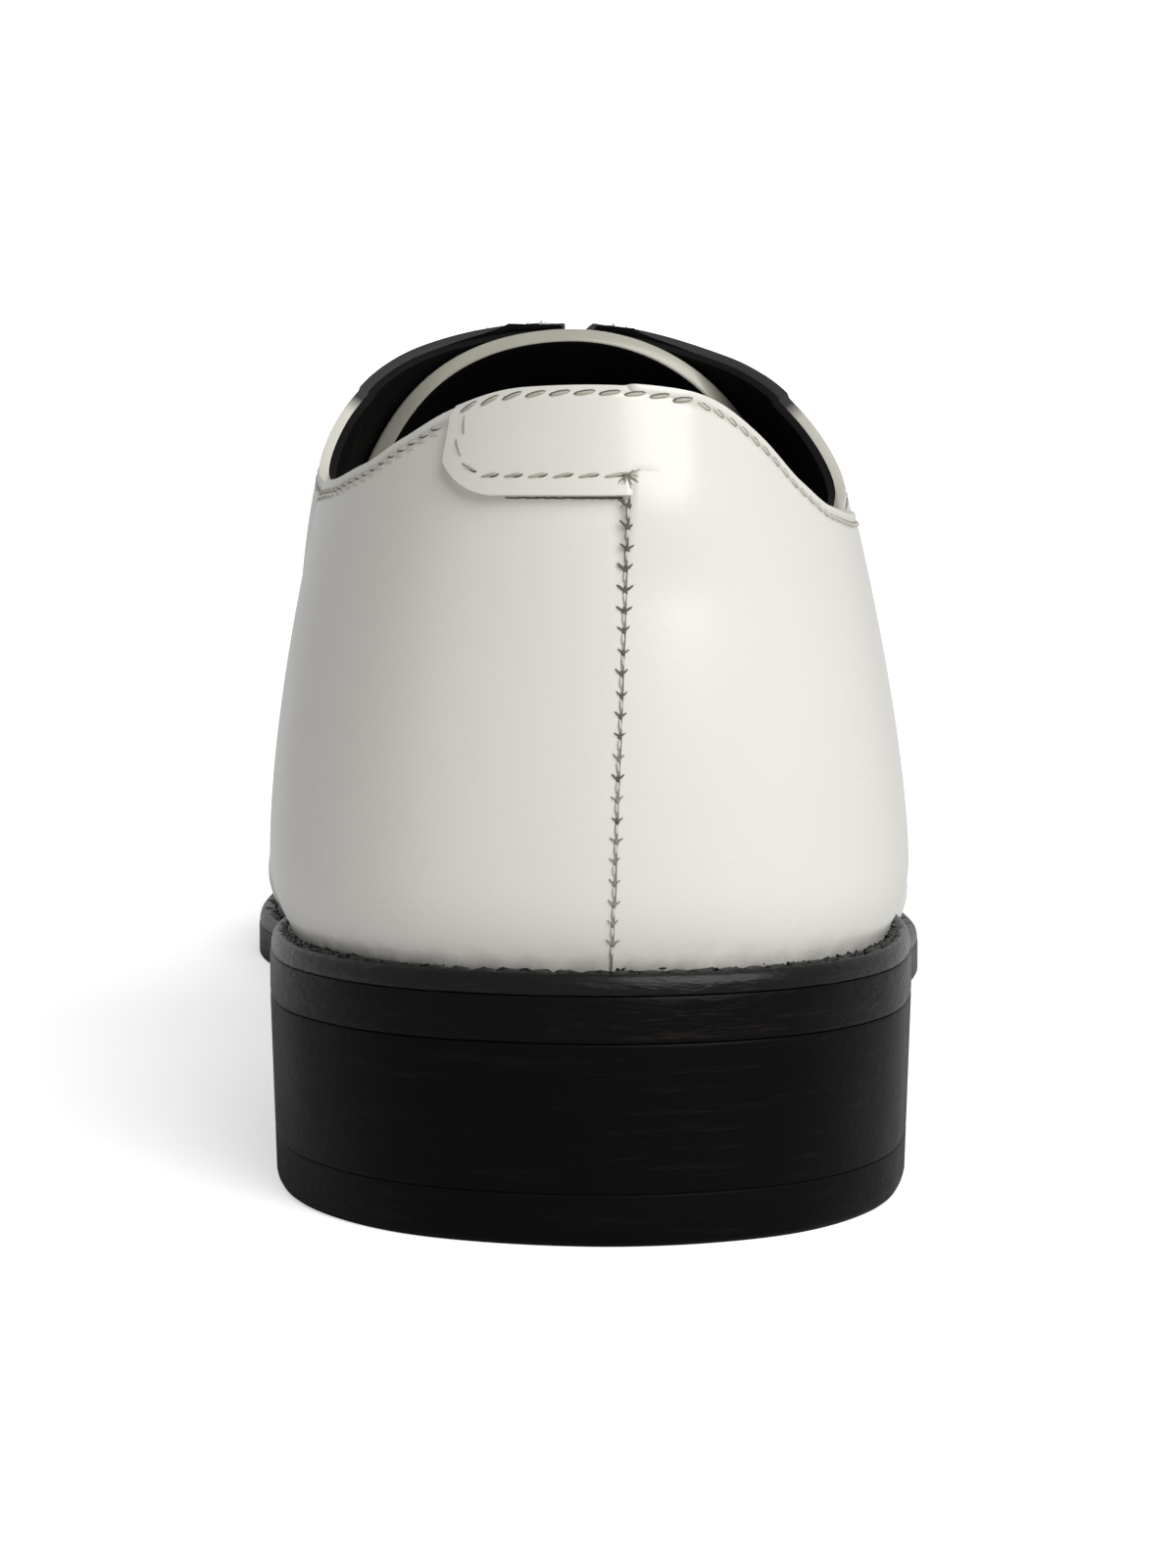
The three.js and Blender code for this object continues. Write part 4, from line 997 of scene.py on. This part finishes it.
# The tongue
def tongue_surface(across, up):
    top = FACING_TOP - TONGUE_RISE - HEEL_CENTRE
    foot = THROAT + TONGUE_TUCK - HEEL_CENTRE
    y = foot + (top - foot) * up
    half = (TONGUE_FOOT + (TONGUE_BREADTH - TONGUE_FOOT) * up) / 2 + 2.5 * fade(0.6, 1.0, up)
    spread = 1 - 2 * across
    y = y + 3.0 * (spread**6) * fade(0.8, 1.0, up)
    x = crest_across(y) + half * spread - 2.5 * fade(0.3, 1.0, up)
    loop, rise = plan_places(x, y)
    return on_last(loop, rise, np.full(len(x), -WALL - CLEARANCE - 0.1))


def make_tongue():
    bm = laid_grid(60, 48, tongue_surface)
    aim_outwards(bm)
    piece = finished("tongue_leather", bm, [IVORY_TAB, LINING, TONGUE_EDGE])
    give_wall(piece, TONGUE, inner=1, rim=2, round_edge=0.9, segments=4)
    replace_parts(piece, "tongue")


def aim_outwards(bm):
    """Turns a laid sheet so that its faces look up."""
    bm.normal_update()
    if sum(f.normal.z for f in bm.faces) < 0:
        bmesh.ops.reverse_faces(bm, faces=bm.faces)


# Bottom: slabs lofted along the shoe, from a station's inner edge to its outer edge and back
def close_up(bm):
    """Fills what the welding left open, and turns the faces outward."""
    bmesh.ops.holes_fill(bm, edges=[e for e in bm.edges if e.is_boundary])
    bmesh.ops.recalc_face_normals(bm, faces=bm.faces)


def slab(columns, profile, low, high, end=1.0, breast=0.0, weld=0.02):
    """A closed solid between two heights. profile rows are: across from -1 to 1, inset, share of the height."""
    rows = profile + [profile[0]]
    ring = np.array(rows, float)
    closing = 6 if end < 1 else 0

    def lay(across, up):
        station = np.round(across * columns)
        body = np.minimum(station / (columns - closing), 1)
        shrink = 1 - np.clip((station - (columns - closing)) / max(closing, 1), 0, 1)
        along = along_of(body * float(loop_of(end)))
        row = np.round(up * (len(rows) - 1)).astype(int)
        side, inset, level = ring[row, 0], ring[row, 1], ring[row, 2]
        outer, outer_way = outline_at(1, along)
        inner, inner_way = outline_at(-1, along)
        outer = outer - outer_way * inset[:, None]
        inner = inner - inner_way * inset[:, None]
        t = ((side + 1) / 2)[:, None]
        point = inner * (1 - t) + outer * t
        point[:, 1] -= breast * (1 - side**2) * fade(end - 0.06, end, along)
        level = 0.5 + (level - 0.5) * shrink
        bottom, top = low(point[:, 1]), high(point[:, 1])
        point[:, 2] = bottom + (top - bottom) * level
        return point

    bm = laid_grid(columns, len(rows) - 1, lay, weld=weld)
    close_up(bm)
    return bm


ACROSS = (-0.8, -0.5, -0.2, 0.1, 0.4, 0.7)


def side_profile(wall):
    """A closed section from its wall, given from the bottom up as inset and share of the height."""
    bottom = [(a, wall[0][0], wall[0][1]) for a in ACROSS]
    top = [(-a, wall[-1][0], wall[-1][1]) for a in ACROSS]
    return bottom + [(1, i, h) for i, h in wall] + top + [(-1, i, h) for i, h in reversed(wall)]


def flat(height):
    return lambda y: np.full_like(y, height)


def make_outsole():
    wall = [(0.14, 0.0), (0.03, 0.04), (0.0, 0.12), (0.0, 0.5), (0.0, 0.9), (0.02, 0.98), (0.07, 1.0)]
    piece = finished("outsole_leather", slab(260, side_profile(wall), underside, outsole_top), EDGE_BLACK)
    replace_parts(piece, "outsole")


def heel_wall(low, high, lips):
    """Insets up the heel's side, from its taper, with the lips at its edges."""
    lower = HEEL_TAPER * (1 - low / HEEL_HEIGHT)
    upper = HEEL_TAPER * (1 - high / HEEL_HEIGHT)
    return [(lower + (upper - lower) * h + lip, h) for h, lip in lips]


HEEL_LIPS = [
    (0.0, 0.07), (0.008, 0.01), (0.03, 0.0), (0.3, 0.0), (0.6, 0.0), (0.97, 0.0), (0.992, 0.02), (1.0, 0.1),
]
LIFT_LIPS = [
    (0.0, 0.55), (0.05, 0.2), (0.12, 0.0), (0.4, 0.0), (0.7, 0.0), (0.95, 0.0), (0.985, 0.01), (1.0, 0.06),
]


def make_heel():
    low, high, end = TOP_LIFT + 0.04, HEEL_HEIGHT, HEEL_LENGTH / SOLE_LENGTH
    wall = heel_wall(low, high, HEEL_LIPS)
    under_sole = lambda y: underside(y) - 0.04
    stack = slab(120, side_profile(wall), flat(low), under_sole, end=end, breast=BREAST_CURVE)
    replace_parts(finished("heel_lifts", stack, SOLE_BLACK), "heel_stack")
    wall = heel_wall(0, TOP_LIFT, LIFT_LIPS)
    lift = slab(120, side_profile(wall), flat(0), flat(TOP_LIFT), end=end, breast=BREAST_CURVE)
    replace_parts(finished("rubber_lift", lift, RUBBER_BLACK), "top_lift")


def welt_ring(across, up):
    """Round the outline, and round the welt's own section."""
    turn = 2 * across - 1
    along = along_of(turn)
    outer, outer_way = outline_at(1, along)
    inner, inner_way = outline_at(-1, along)
    first = (turn >= 0)[:, None]
    point, way = np.where(first, outer, inner), np.where(first, outer_way, inner_way)
    inner_edge = LEDGE.at("ledge", along) + 0.15
    section = np.array(WELT_SECTION)
    row = np.round(up * (len(WELT_SECTION) - 1)).astype(int)
    inset = WELT_FLUSH + section[row, 0] + section[row, 1] * (inner_edge - WELT_FLUSH)
    point = point - way * inset[:, None]
    low, high = outsole_top(point[:, 1]) + 0.02, welt_top(point[:, 1])
    point[:, 2] = low + (high - low) * section[row, 2]
    pits = np.array([noise.noise(Vector(each) * 0.9) + 0.8 * noise.noise(Vector(each) * 2.3) for each in point])
    worn = 0.42 * (section[row, 1] >= 0.2) * (section[row, 2] > 0.5)
    point[:, 2] += worn * pits
    return point


# Inset, share of the ledge, share of the height: from the outer edge over the top to the upper and back
WELT_SECTION = [
    (0.06, 0, 0.0), (0.0, 0, 0.12), (0.0, 0, 0.35), (0.1, 0, 0.6), (0.27, 0, 0.82), (0.5, 0, 0.96), (0.7, 0, 1.0),
    (0.6, 0.2, 0.97), (0.4, 0.4, 0.92), (0.2, 0.55, 0.97), (0.0, 0.7, 1.0), (0.0, 0.85, 1.03), (0.0, 1.0, 1.0),
    (0.3, 1.0, 0.0), (0.06, 0, 0.0),
]


def make_welt():
    bm = laid_grid(900, len(WELT_SECTION) - 1, welt_ring, weld=0.02)
    close_up(bm)
    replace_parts(finished("welt_leather", bm, WELT_BLACK), "welt")


def make_insole():
    inset = WALL + 0.35
    edge = lambda along: LEDGE.at("ledge", along) + inset

    def lay(across, up):
        along = along_of(across)
        outer, outer_way = outline_at(1, along)
        inner, inner_way = outline_at(-1, along)
        outer = outer - outer_way * edge(along)[:, None]
        inner = inner - inner_way * edge(along)[:, None]
        point = outer * (1 - up[:, None]) + inner * up[:, None]
        cup = 1.6 * np.abs(2 * up - 1) ** 6
        point[:, 2] = outsole_top(point[:, 1]) + CLEARANCE + INSOLE + cup
        return point

    bm = laid_grid(160, 24, lay, weld=0.02)
    aim_outwards(bm)
    piece = finished("insole_sock", bm, LINING)
    give_wall(piece, INSOLE - 0.4, round_edge=0.3, segments=2)
    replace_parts(piece, "insole")


# Stitches
def even_steps(points, pitch):
    """Centres and directions at equal steps along a line of points."""
    lengths = np.concatenate([[0], np.cumsum(np.linalg.norm(np.diff(points, axis=0), axis=1))])
    count = max(1, int(lengths[-1] / pitch))
    at = (np.arange(count) + 0.5) * lengths[-1] / count
    pick = lambda s: np.stack([np.interp(s, lengths, points[:, k]) for k in range(3)], axis=-1)
    way = pick(np.minimum(at + 0.3, lengths[-1])) - pick(np.maximum(at - 0.3, 0))
    return pick(at), way / np.linalg.norm(way, axis=1)[:, None], at / lengths[-1]


def bead(places, centre, way, normal, length, width, height, lean=0.0, aside=0.0, lift=0.0):
    """Notes the place of one small rounded bar on a surface: a stitch, a strand, or a dark bar of painted shade
    for a needle's slot or a gap.
    """
    normal = Vector(normal).normalized()
    way = (Vector(way) - normal * Vector(way).dot(normal)).normalized()
    way = Matrix.Rotation(lean, 3, normal) @ way
    side = normal.cross(way)
    spot = (Vector(centre) + side * aside + normal * lift) * MM
    turn = Matrix((way, side, normal)).transposed().to_4x4()
    size = Matrix.Diagonal((length / 2 * MM, width / 2 * MM, height / 2 * MM, 1))
    places.append(Matrix.Translation(spot) @ turn @ size)


def string_beads(name, places, material):
    """One round bead, copied until there is one for each place, and each copy moved to its own."""
    apart = 4.0
    bm = bmesh.new()
    bmesh.ops.create_uvsphere(bm, u_segments=8, v_segments=5, radius=1)
    made = 1
    while made < len(places):
        wanted = min(made, len(places) - made)
        near = (wanted - 0.5) * apart
        parts = [part for kind in (bm.verts, bm.edges, bm.faces) for part in kind
                 if (part.co.x if isinstance(part, bmesh.types.BMVert) else part.verts[0].co.x) < near]
        copies = bmesh.ops.duplicate(bm, geom=parts)["geom"]
        fresh = [part for part in copies if isinstance(part, bmesh.types.BMVert)]
        bmesh.ops.translate(bm, verts=fresh, vec=(made * apart, 0, 0))
        made += wanted
    for vertex in bm.verts:
        i = round(vertex.co.x / apart)
        vertex.co = places[i] @ Vector((vertex.co.x - i * apart, vertex.co.y, vertex.co.z))
    return finished(name, bm, material)


def sew(name, rows, thread=IVORY_THREAD, slot_shade=NEEDLE_SHADE):
    """Rows of stitches. Each row is its points, its outward directions, its pitch, lean and size."""
    threads, slot_shades = [], []
    for points, normals, pitch, lean, size in rows:
        lengths = np.linspace(0, 1, len(points))
        centres, ways, shares = even_steps(points, pitch)
        for centre, way, part in zip(centres, ways, shares):
            normal = [np.interp(part, lengths, normals[:, k]) for k in range(3)]
            wobble = random.uniform(-0.06, 0.06)
            bead(threads, centre, way, normal, 0.9 * pitch, 2.1 * THREAD * size, 1.9 * THREAD * size,
                 lean + wobble, aside=0.02, lift=0.06)
            # A dark bar beside each stitch: painted shade of the needle's slot.
            bead(slot_shades, centre, way, normal, 1.0 * pitch, 2.9 * THREAD * size, 0.6 * THREAD * size,
                 lean + wobble, aside=0.13 * size, lift=0.01)
    string_beads(name, threads, thread)
    if slot_shade:
        string_beads(name + "_needle_shade", slot_shades, slot_shade)


def edge_row(loops, under):
    """A line that keeps its distance from the cut edge, and falls back at the tops of the facings."""
    edge, pace = trim(loops)
    ahead = last_points(loops, edge)[:, 1]
    rise = edge - (under + 1.5 * fade(50, 72, ahead)) / pace
    points = last_points(loops, rise)
    normals = last_normals(loops, rise)
    pressed = 0.1 + 0.12 * fade(50, 72, ahead)
    return points + normals * (tab_swell(points) - pressed)[:, None], normals


def laid_row(loop, rise, lift):
    """A row over the last, with its outward directions."""
    return on_last(loop, rise, np.full(len(loop), lift)), last_normals(loop, rise)


def seam_row(side, ahead, inside, offset, low=0.04, high=1.0):
    """A line beside a seam of the forepart, from the welt to the crest."""
    rise = np.linspace(low, high, 160)
    loop = front_edge(side, rise, ahead)
    pace = np.linalg.norm(last_points(loop + 0.002, rise) - last_points(loop - 0.002, rise), axis=-1) / 0.004
    loop = loop + side * inside / pace
    return laid_row(loop, rise, offset)


def tab_row():
    """Round the heel tab, from the knot at the back seam to the topline."""
    inset = 1.9
    bottom = np.linspace(SEAM_OFFSET - 0.2, TAB_CORNER - TAB_REACH, 40)
    lower = np.stack([bottom, np.full(40, tab_low + inset)], axis=-1)
    turn = np.linspace(0, math.pi / 2, 20)[1:]
    radius = TAB_CORNER - inset
    round_x = TAB_CORNER - TAB_REACH - radius * np.sin(turn)
    corner = np.stack([round_x, tab_low + TAB_CORNER - radius * np.cos(turn)], axis=-1)
    left = inset - TAB_REACH
    top = float(back_topline(left)) - 1.1
    up_side = np.linspace(tab_low + TAB_CORNER, top, 21)[1:]
    side = np.stack([left + tab_slant(up_side), up_side], axis=-1)
    line = np.concatenate([lower, corner, side])
    loop, rise = heel_places(line[:, 0], line[:, 1])
    return laid_row(loop, rise, TAB_LAYER - 0.02)


def tab_top_row():
    x = np.linspace(1.9 - TAB_REACH, SEAM_OFFSET + 6, 80)
    loop, rise = heel_places(x, back_topline(x) - 1.05)
    return laid_row(loop, rise, TAB_LAYER - 0.02)


def facing_row(side):
    """Up the facing, behind the eyelets."""
    y = np.linspace(THROAT - HEEL_CENTRE, FACING_TOP - HEEL_CENTRE + 1.5, 60)
    x = crest_across(y) + side * (EYELET_REACH + 6.5)
    loop, rise = plan_places(x, y)
    return laid_row(loop, rise, -0.05)


def make_stitches():
    random.seed(4)
    tab_end = 0.055
    starts = ((1, tab_end), (-1, 0.10))
    sides = [edge_row(side * np.linspace(start, 0.545, 420), 1.15) for side, start in starts]
    second = edge_row(-np.linspace(0.10, 0.33, 200), 1.9)
    rows = [(*line, 1.75, -0.25, 0.85) for line in (*sides, second)]
    rows += [(*facing_row(side), 1.8, 0.0, 0.85) for side in (1, -1)]
    sew("quarter_stitches", rows)
    sew("tab_stitches", [(*tab_row(), 2.35, 0.2, 0.9), (*tab_top_row(), 2.35, 0.2, 0.9)], thread=TAB_THREAD)
    vamp = [(*seam_row(side, ahead_of_vamp_seam, inside, OVERLAY - 0.05, high=0.985), 1.8, 0.0, 0.9)
            for side in (1, -1) for inside in (1.5, 3.2)]
    cap = [(*seam_row(side, ahead_of_cap_seam, inside, 2 * OVERLAY + CLEARANCE - 0.05), 1.8, 0.0, 0.9)
           for side in (1, -1) for inside in (1.5, 3.2)]
    sew("forepart_stitches", vamp + cap)
    sew("welt_stitches", [welt_row(side) for side in (1, -1)], thread=BLACK_THREAD, slot_shade=None)


def welt_row(side):
    along = along_of(np.linspace(0.0, 1.0, 500))
    point, way = outline_at(side, along)
    ledge = LEDGE.at("ledge", along)
    point = point - way * (WELT_STEP + 0.3 + 0.45 * (ledge - WELT_STEP))[:, None]
    point[:, 2] = welt_top(point[:, 1]) - 0.12
    return point, np.tile([0, 0, 1.0], (len(point), 1)), 2.7, 0.0, 1.5


def make_fray():
    """Loose wax and fibre in the channel between the welt and the upper."""
    random.seed(31)
    tufts = []
    for side in (1, -1):
        along = along_of(np.linspace(0.0, 0.62, 400))
        point, way = outline_at(side, along)
        inside = LEDGE.at("ledge", along) - 0.15
        point = point - way * inside[:, None]
        point[:, 2] = welt_top(point[:, 1]) + 0.05
        centres, ways, _shares = even_steps(point, 0.62)
        for centre, way in zip(centres, ways):
            spread = random.uniform(-0.5, 0.35)
            bead(tufts, centre, way, (random.uniform(-0.5, 0.5), random.uniform(-0.5, 0.5), 1),
                 random.uniform(0.35, 1.1), random.uniform(0.14, 0.4), random.uniform(0.14, 0.42),
                 lean=random.uniform(-1.2, 1.2), aside=spread, lift=random.uniform(-0.1, 0.16))
    string_beads("rand_fray", tufts, WELT_BLACK)


def make_back_seam():
    """Bird-foot stitches down the back: prongs of painted slot shade, fainter lower down, with the thread that
    shows between them.
    """
    random.seed(11)
    dark, fainter_prongs, threads = [], [], []
    z = tab_low - 0.5
    foot = HEEL_HEIGHT + OUTSOLE + CLEARANCE + WELT + 2.2
    while z > foot:
        x = SEAM_OFFSET - SEAM_LEAN * (tab_low - z) + random.uniform(-0.08, 0.08)
        size = float(0.85 + 0.4 * fade(tab_low - 20, tab_low, z)) + random.uniform(-0.1, 0.1)
        # Lower down, more prongs take the fainter painted shade.
        prongs = dark if random.random() < fade(foot + 4, tab_low - 12, z) else fainter_prongs
        loop, rise = heel_places(np.array([x, x]), np.array([z, z - 1]))
        normal = last_normals(loop, rise)[0]
        point = last_points(loop, rise)
        point = point + normal * (tab_swell(point) + 0.02)[:, None]
        down = point[1] - point[0]
        for hand in (-1, 1):
            lean = hand * (0.9 + random.uniform(-0.15, 0.15))
            bead(prongs, point[0], down, normal, 1.25 * size, 0.24 * size, 0.32, lean=lean,
                 aside=hand * -0.4 * size)
        bead(prongs, point[0] + 0.4 * down, down, normal, 0.8, 0.3, 0.32)
        bead(threads, point[0] + 1.15 * down, down, normal, 1.2, 0.34, 0.4, lean=random.uniform(-0.1, 0.1),
             aside=-0.08)
        z -= 2.02 * random.uniform(0.93, 1.07)
    string_beads("back_seam_thread", threads, IVORY_THREAD)
    string_beads("back_seam_prongs", dark, NEEDLE_SHADE)
    string_beads("back_seam_faint_prongs", fainter_prongs, FAINT_SLOT_SHADE)


def make_knot():
    """The tied-off thread at the tab's outer end, with its loose fibres."""
    random.seed(23)
    strands = []
    loop, rise = heel_places(SEAM_OFFSET + np.array([-0.3, -0.3]), tab_low + np.array([1.95, -0.35]))
    centres = last_points(loop, rise)
    normals = last_normals(loop, rise)
    centres = centres + normals * np.array([[TAB_LAYER], [0.1]])
    for centre, normal, count, longest in zip(centres, normals, (24, 9), (1.5, 0.9)):
        for _ in range(count):
            angle = random.uniform(-3.6, 0.7)
            way = (math.cos(angle), 0, math.sin(angle))
            reach = random.uniform(0.5, longest)
            middle = centre + 0.4 * reach * np.array(way)
            bead(strands, middle, way, normal, 1.4 * reach, 0.12, 0.15, lift=random.uniform(0, 0.18))
    fibre = spun("knot_fibre", (0.36, 0.34, 0.28), (0.2, 0.19, 0.15))
    string_beads("thread_knot", strands, fibre)


def make_tab_shadow_line():
    """A painted shadow line of dark bars under the tab's loose lower edge."""
    random.seed(8)
    x = np.linspace(6 - TAB_REACH, SEAM_OFFSET - 0.3, 40)
    loop, rise = heel_places(x, np.full(40, tab_low - 0.1))
    normals = last_normals(loop, rise)
    centres, ways, shares = even_steps(last_points(loop, rise), 0.9)
    places = []
    for centre, way, part in zip(centres, ways, shares):
        normal = [np.interp(part, np.linspace(0, 1, 40), normals[:, k]) for k in range(3)]
        bead(places, centre, way, normal, 1.3, 0.16 + 0.16 * part, 0.16, lean=random.uniform(-0.08, 0.08))
    string_beads("tab_edge_shadow", places, NEEDLE_SHADE)


# The lace
def lace_line():
    """From inside the top outer eyelet, back and forth down the facings, and up inside to the top inner one."""
    seat, depth = LACE_RADIUS + 0.25, WALL + 0.2
    holes = {side: eyelet_places(side) for side in (1, -1)}
    normals = {side: last_normals(*holes[side]) for side in (1, -1)}
    points = {side: last_points(*holes[side]) for side in (1, -1)}
    line = []

    def through(side, i, outwards):
        steps = (-depth, 0.0, 0.62 * seat) if outwards else (0.62 * seat, 0.0, -depth)
        line.extend(points[side][i] + normals[side][i] * s for s in steps)

    side = 1
    for i in range(EYELET_PAIRS):
        through(side, i, True)
        t = np.linspace(0.12, 0.88, 7)
        x = crest_across(EYELET_ROWS[i]) + side * EYELET_REACH * (1 - 2 * t)
        y = np.full(7, EYELET_ROWS[i])
        place_on = plan_places(x, y)
        line.extend(on_last(*place_on, np.full(7, seat)))
        side = -side
        through(side, i, False)
    for i in reversed(range(EYELET_PAIRS)):
        under = points[side][i] - normals[side][i] * depth
        line.append(under + np.array([1.5 * side, 1.0, 0]))
    return np.array(line)


def smooth_line(points, step):
    """A Catmull-Rom line through points, at about equal steps."""
    p = np.concatenate([2 * points[:1] - points[1:2], points, 2 * points[-1:] - points[-2:-1]])
    made = []
    for a, b, c, d in zip(p, p[1:], p[2:], p[3:]):
        ab, bc, cd = (max(np.linalg.norm(q - r), 1e-6) ** 0.5 for q, r in ((b, a), (c, b), (d, c)))
        leave = ((b - a) / ab - (c - a) / (ab + bc) + (c - b) / bc) * bc
        arrive = ((c - b) / bc - (d - b) / (bc + cd) + (d - c) / cd) * bc
        t = np.linspace(0, 1, 12, endpoint=False)[:, None]
        squared, cubed = 3 * (c - b) - 2 * leave - arrive, 2 * (b - c) + leave + arrive
        made.append(b + leave * t + squared * t**2 + cubed * t**3)
    line = np.concatenate(made + [points[-1:]])
    return even_steps(line, step)


def make_lace():
    centres, ways, _shares = smooth_line(lace_line(), 0.45)
    count = len(centres)
    around = 12
    side = np.cross(ways, [0.0, 0.6, 0.8])
    side /= np.linalg.norm(side, axis=1)[:, None]
    up = np.cross(side, ways)

    def lay(across, turn):
        i = np.round(across * (count - 1)).astype(int)
        angle = (2 * math.pi * turn)[:, None]
        cap = np.minimum(1, 0.25 + 0.4 * np.minimum(i, count - 1 - i))[:, None]
        return centres[i] + LACE_RADIUS * cap * (np.cos(angle) * side[i] + np.sin(angle) * up[i])

    bm = laid_grid(count - 1, around, lay, weld=0.001, marks={
        "run": lambda across, turn: across * (count - 1) * 0.45,
        "turn": lambda across, turn: 2 * math.pi * turn,
    })
    close_up(bm)
    piece = finished("lace", bm, LACE)
    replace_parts(piece, *(f"lace_bar_{i + 1}" for i in range(EYELET_PAIRS)))


# Floor, light and camera
def make_studio():
    material, tree, shader, where = started("white_floor", (1, 1, 1), Specular_IOR_Level=0.0, Roughness=0.9)
    tint = node(tree, "TexNoise", {"Vector": where, "Scale": 3.0}).outputs["Fac"]
    feed(tree, shader, Base_Color=blend_colour(tree, tint, (0.97, 0.97, 0.97), (1, 1, 1)))
    seen = tree.nodes.new("ShaderNodeLightPath").outputs["Is Camera Ray"]
    shader.inputs["Emission Color"].default_value = (1, 1, 1, 1)
    feed(tree, shader, Emission_Strength=ranged(tree, seen, 0.0, 0.6))
    bm = bmesh.new()
    bmesh.ops.create_grid(bm, x_segments=2, y_segments=2, size=9)
    mesh = bpy.data.meshes.new("floor")
    bm.to_mesh(mesh)
    bm.free()
    floor = bpy.data.objects.new("floor", mesh)
    mesh.materials.append(material)
    bpy.context.scene.collection.objects.link(floor)

    world = bpy.data.worlds.new("studio")
    bpy.context.scene.world = world
    world.use_nodes = True
    tree = world.node_tree
    tree.nodes.clear()
    seen = node(tree, "Background", {"Color": (1, 1, 1, 1), "Strength": 1.3})
    path = tree.nodes.new("ShaderNodeLightPath")
    mirrored = ranged(tree, path.outputs["Is Glossy Ray"], 0.12, 0.62)
    ambient = node(tree, "Background", {"Color": (1, 1, 1, 1), "Strength": mirrored})
    both = node(tree, "MixShader",
                {0: path.outputs["Is Camera Ray"], 1: ambient.outputs[0], 2: seen.outputs[0]})
    out = tree.nodes.new("ShaderNodeOutputWorld")
    tree.links.new(both.outputs[0], out.inputs["Surface"])

    soft_sun("key", (0.46, -0.62, 0.63), 2.75, 50)
    scene = bpy.context.scene
    scene.view_settings.view_transform = "Standard"
    scene.view_settings.look = "None"


def soft_sun(name, towards, strength, breadth):
    """Even light from a broad patch of the studio's ceiling, so that the floor stays one white."""
    light = bpy.data.lights.new(name, "SUN")
    light.energy = strength
    light.angle = math.radians(breadth)
    lamp = bpy.data.objects.new(name, light)
    lamp.location = towards
    lamp.rotation_euler = (-Vector(towards)).to_track_quat("-Z", "Y").to_euler()
    bpy.context.scene.collection.objects.link(lamp)


CAMERA_BACK = 340  # behind the heel
CAMERA_HEIGHT = 74.4
CAMERA_PITCH = 4.872
FOCAL_PIXELS = 3622
PHOTO_HEIGHT = 1600
CENTRE_PIXELS = 2  # the shoe's middle lies this far left of the photo's


def make_camera():
    data = bpy.data.cameras.new("camera")
    data.sensor_width = 36
    data.lens = data.sensor_width * FOCAL_PIXELS / PHOTO_HEIGHT
    data.shift_x = CENTRE_PIXELS / PHOTO_HEIGHT
    data.clip_start, data.clip_end = 0.01, 50
    camera = bpy.data.objects.new("camera", data)
    camera.location = (0, -(CAMERA_BACK + HEEL_CENTRE) * MM, CAMERA_HEIGHT * MM)
    camera.rotation_euler = (math.radians(90 - CAMERA_PITCH), 0, 0)
    bpy.context.scene.collection.objects.link(camera)
    bpy.context.scene.camera = camera


make_camera()
make_studio()
make_quarters()
make_lining()
make_vamp()
make_toe_cap()
make_heel_tab()
make_tongue()
make_insole()
make_welt()
make_outsole()
make_heel()
make_stitches()
make_fray()
make_back_seam()
make_knot()
make_tab_shadow_line()
make_lace()
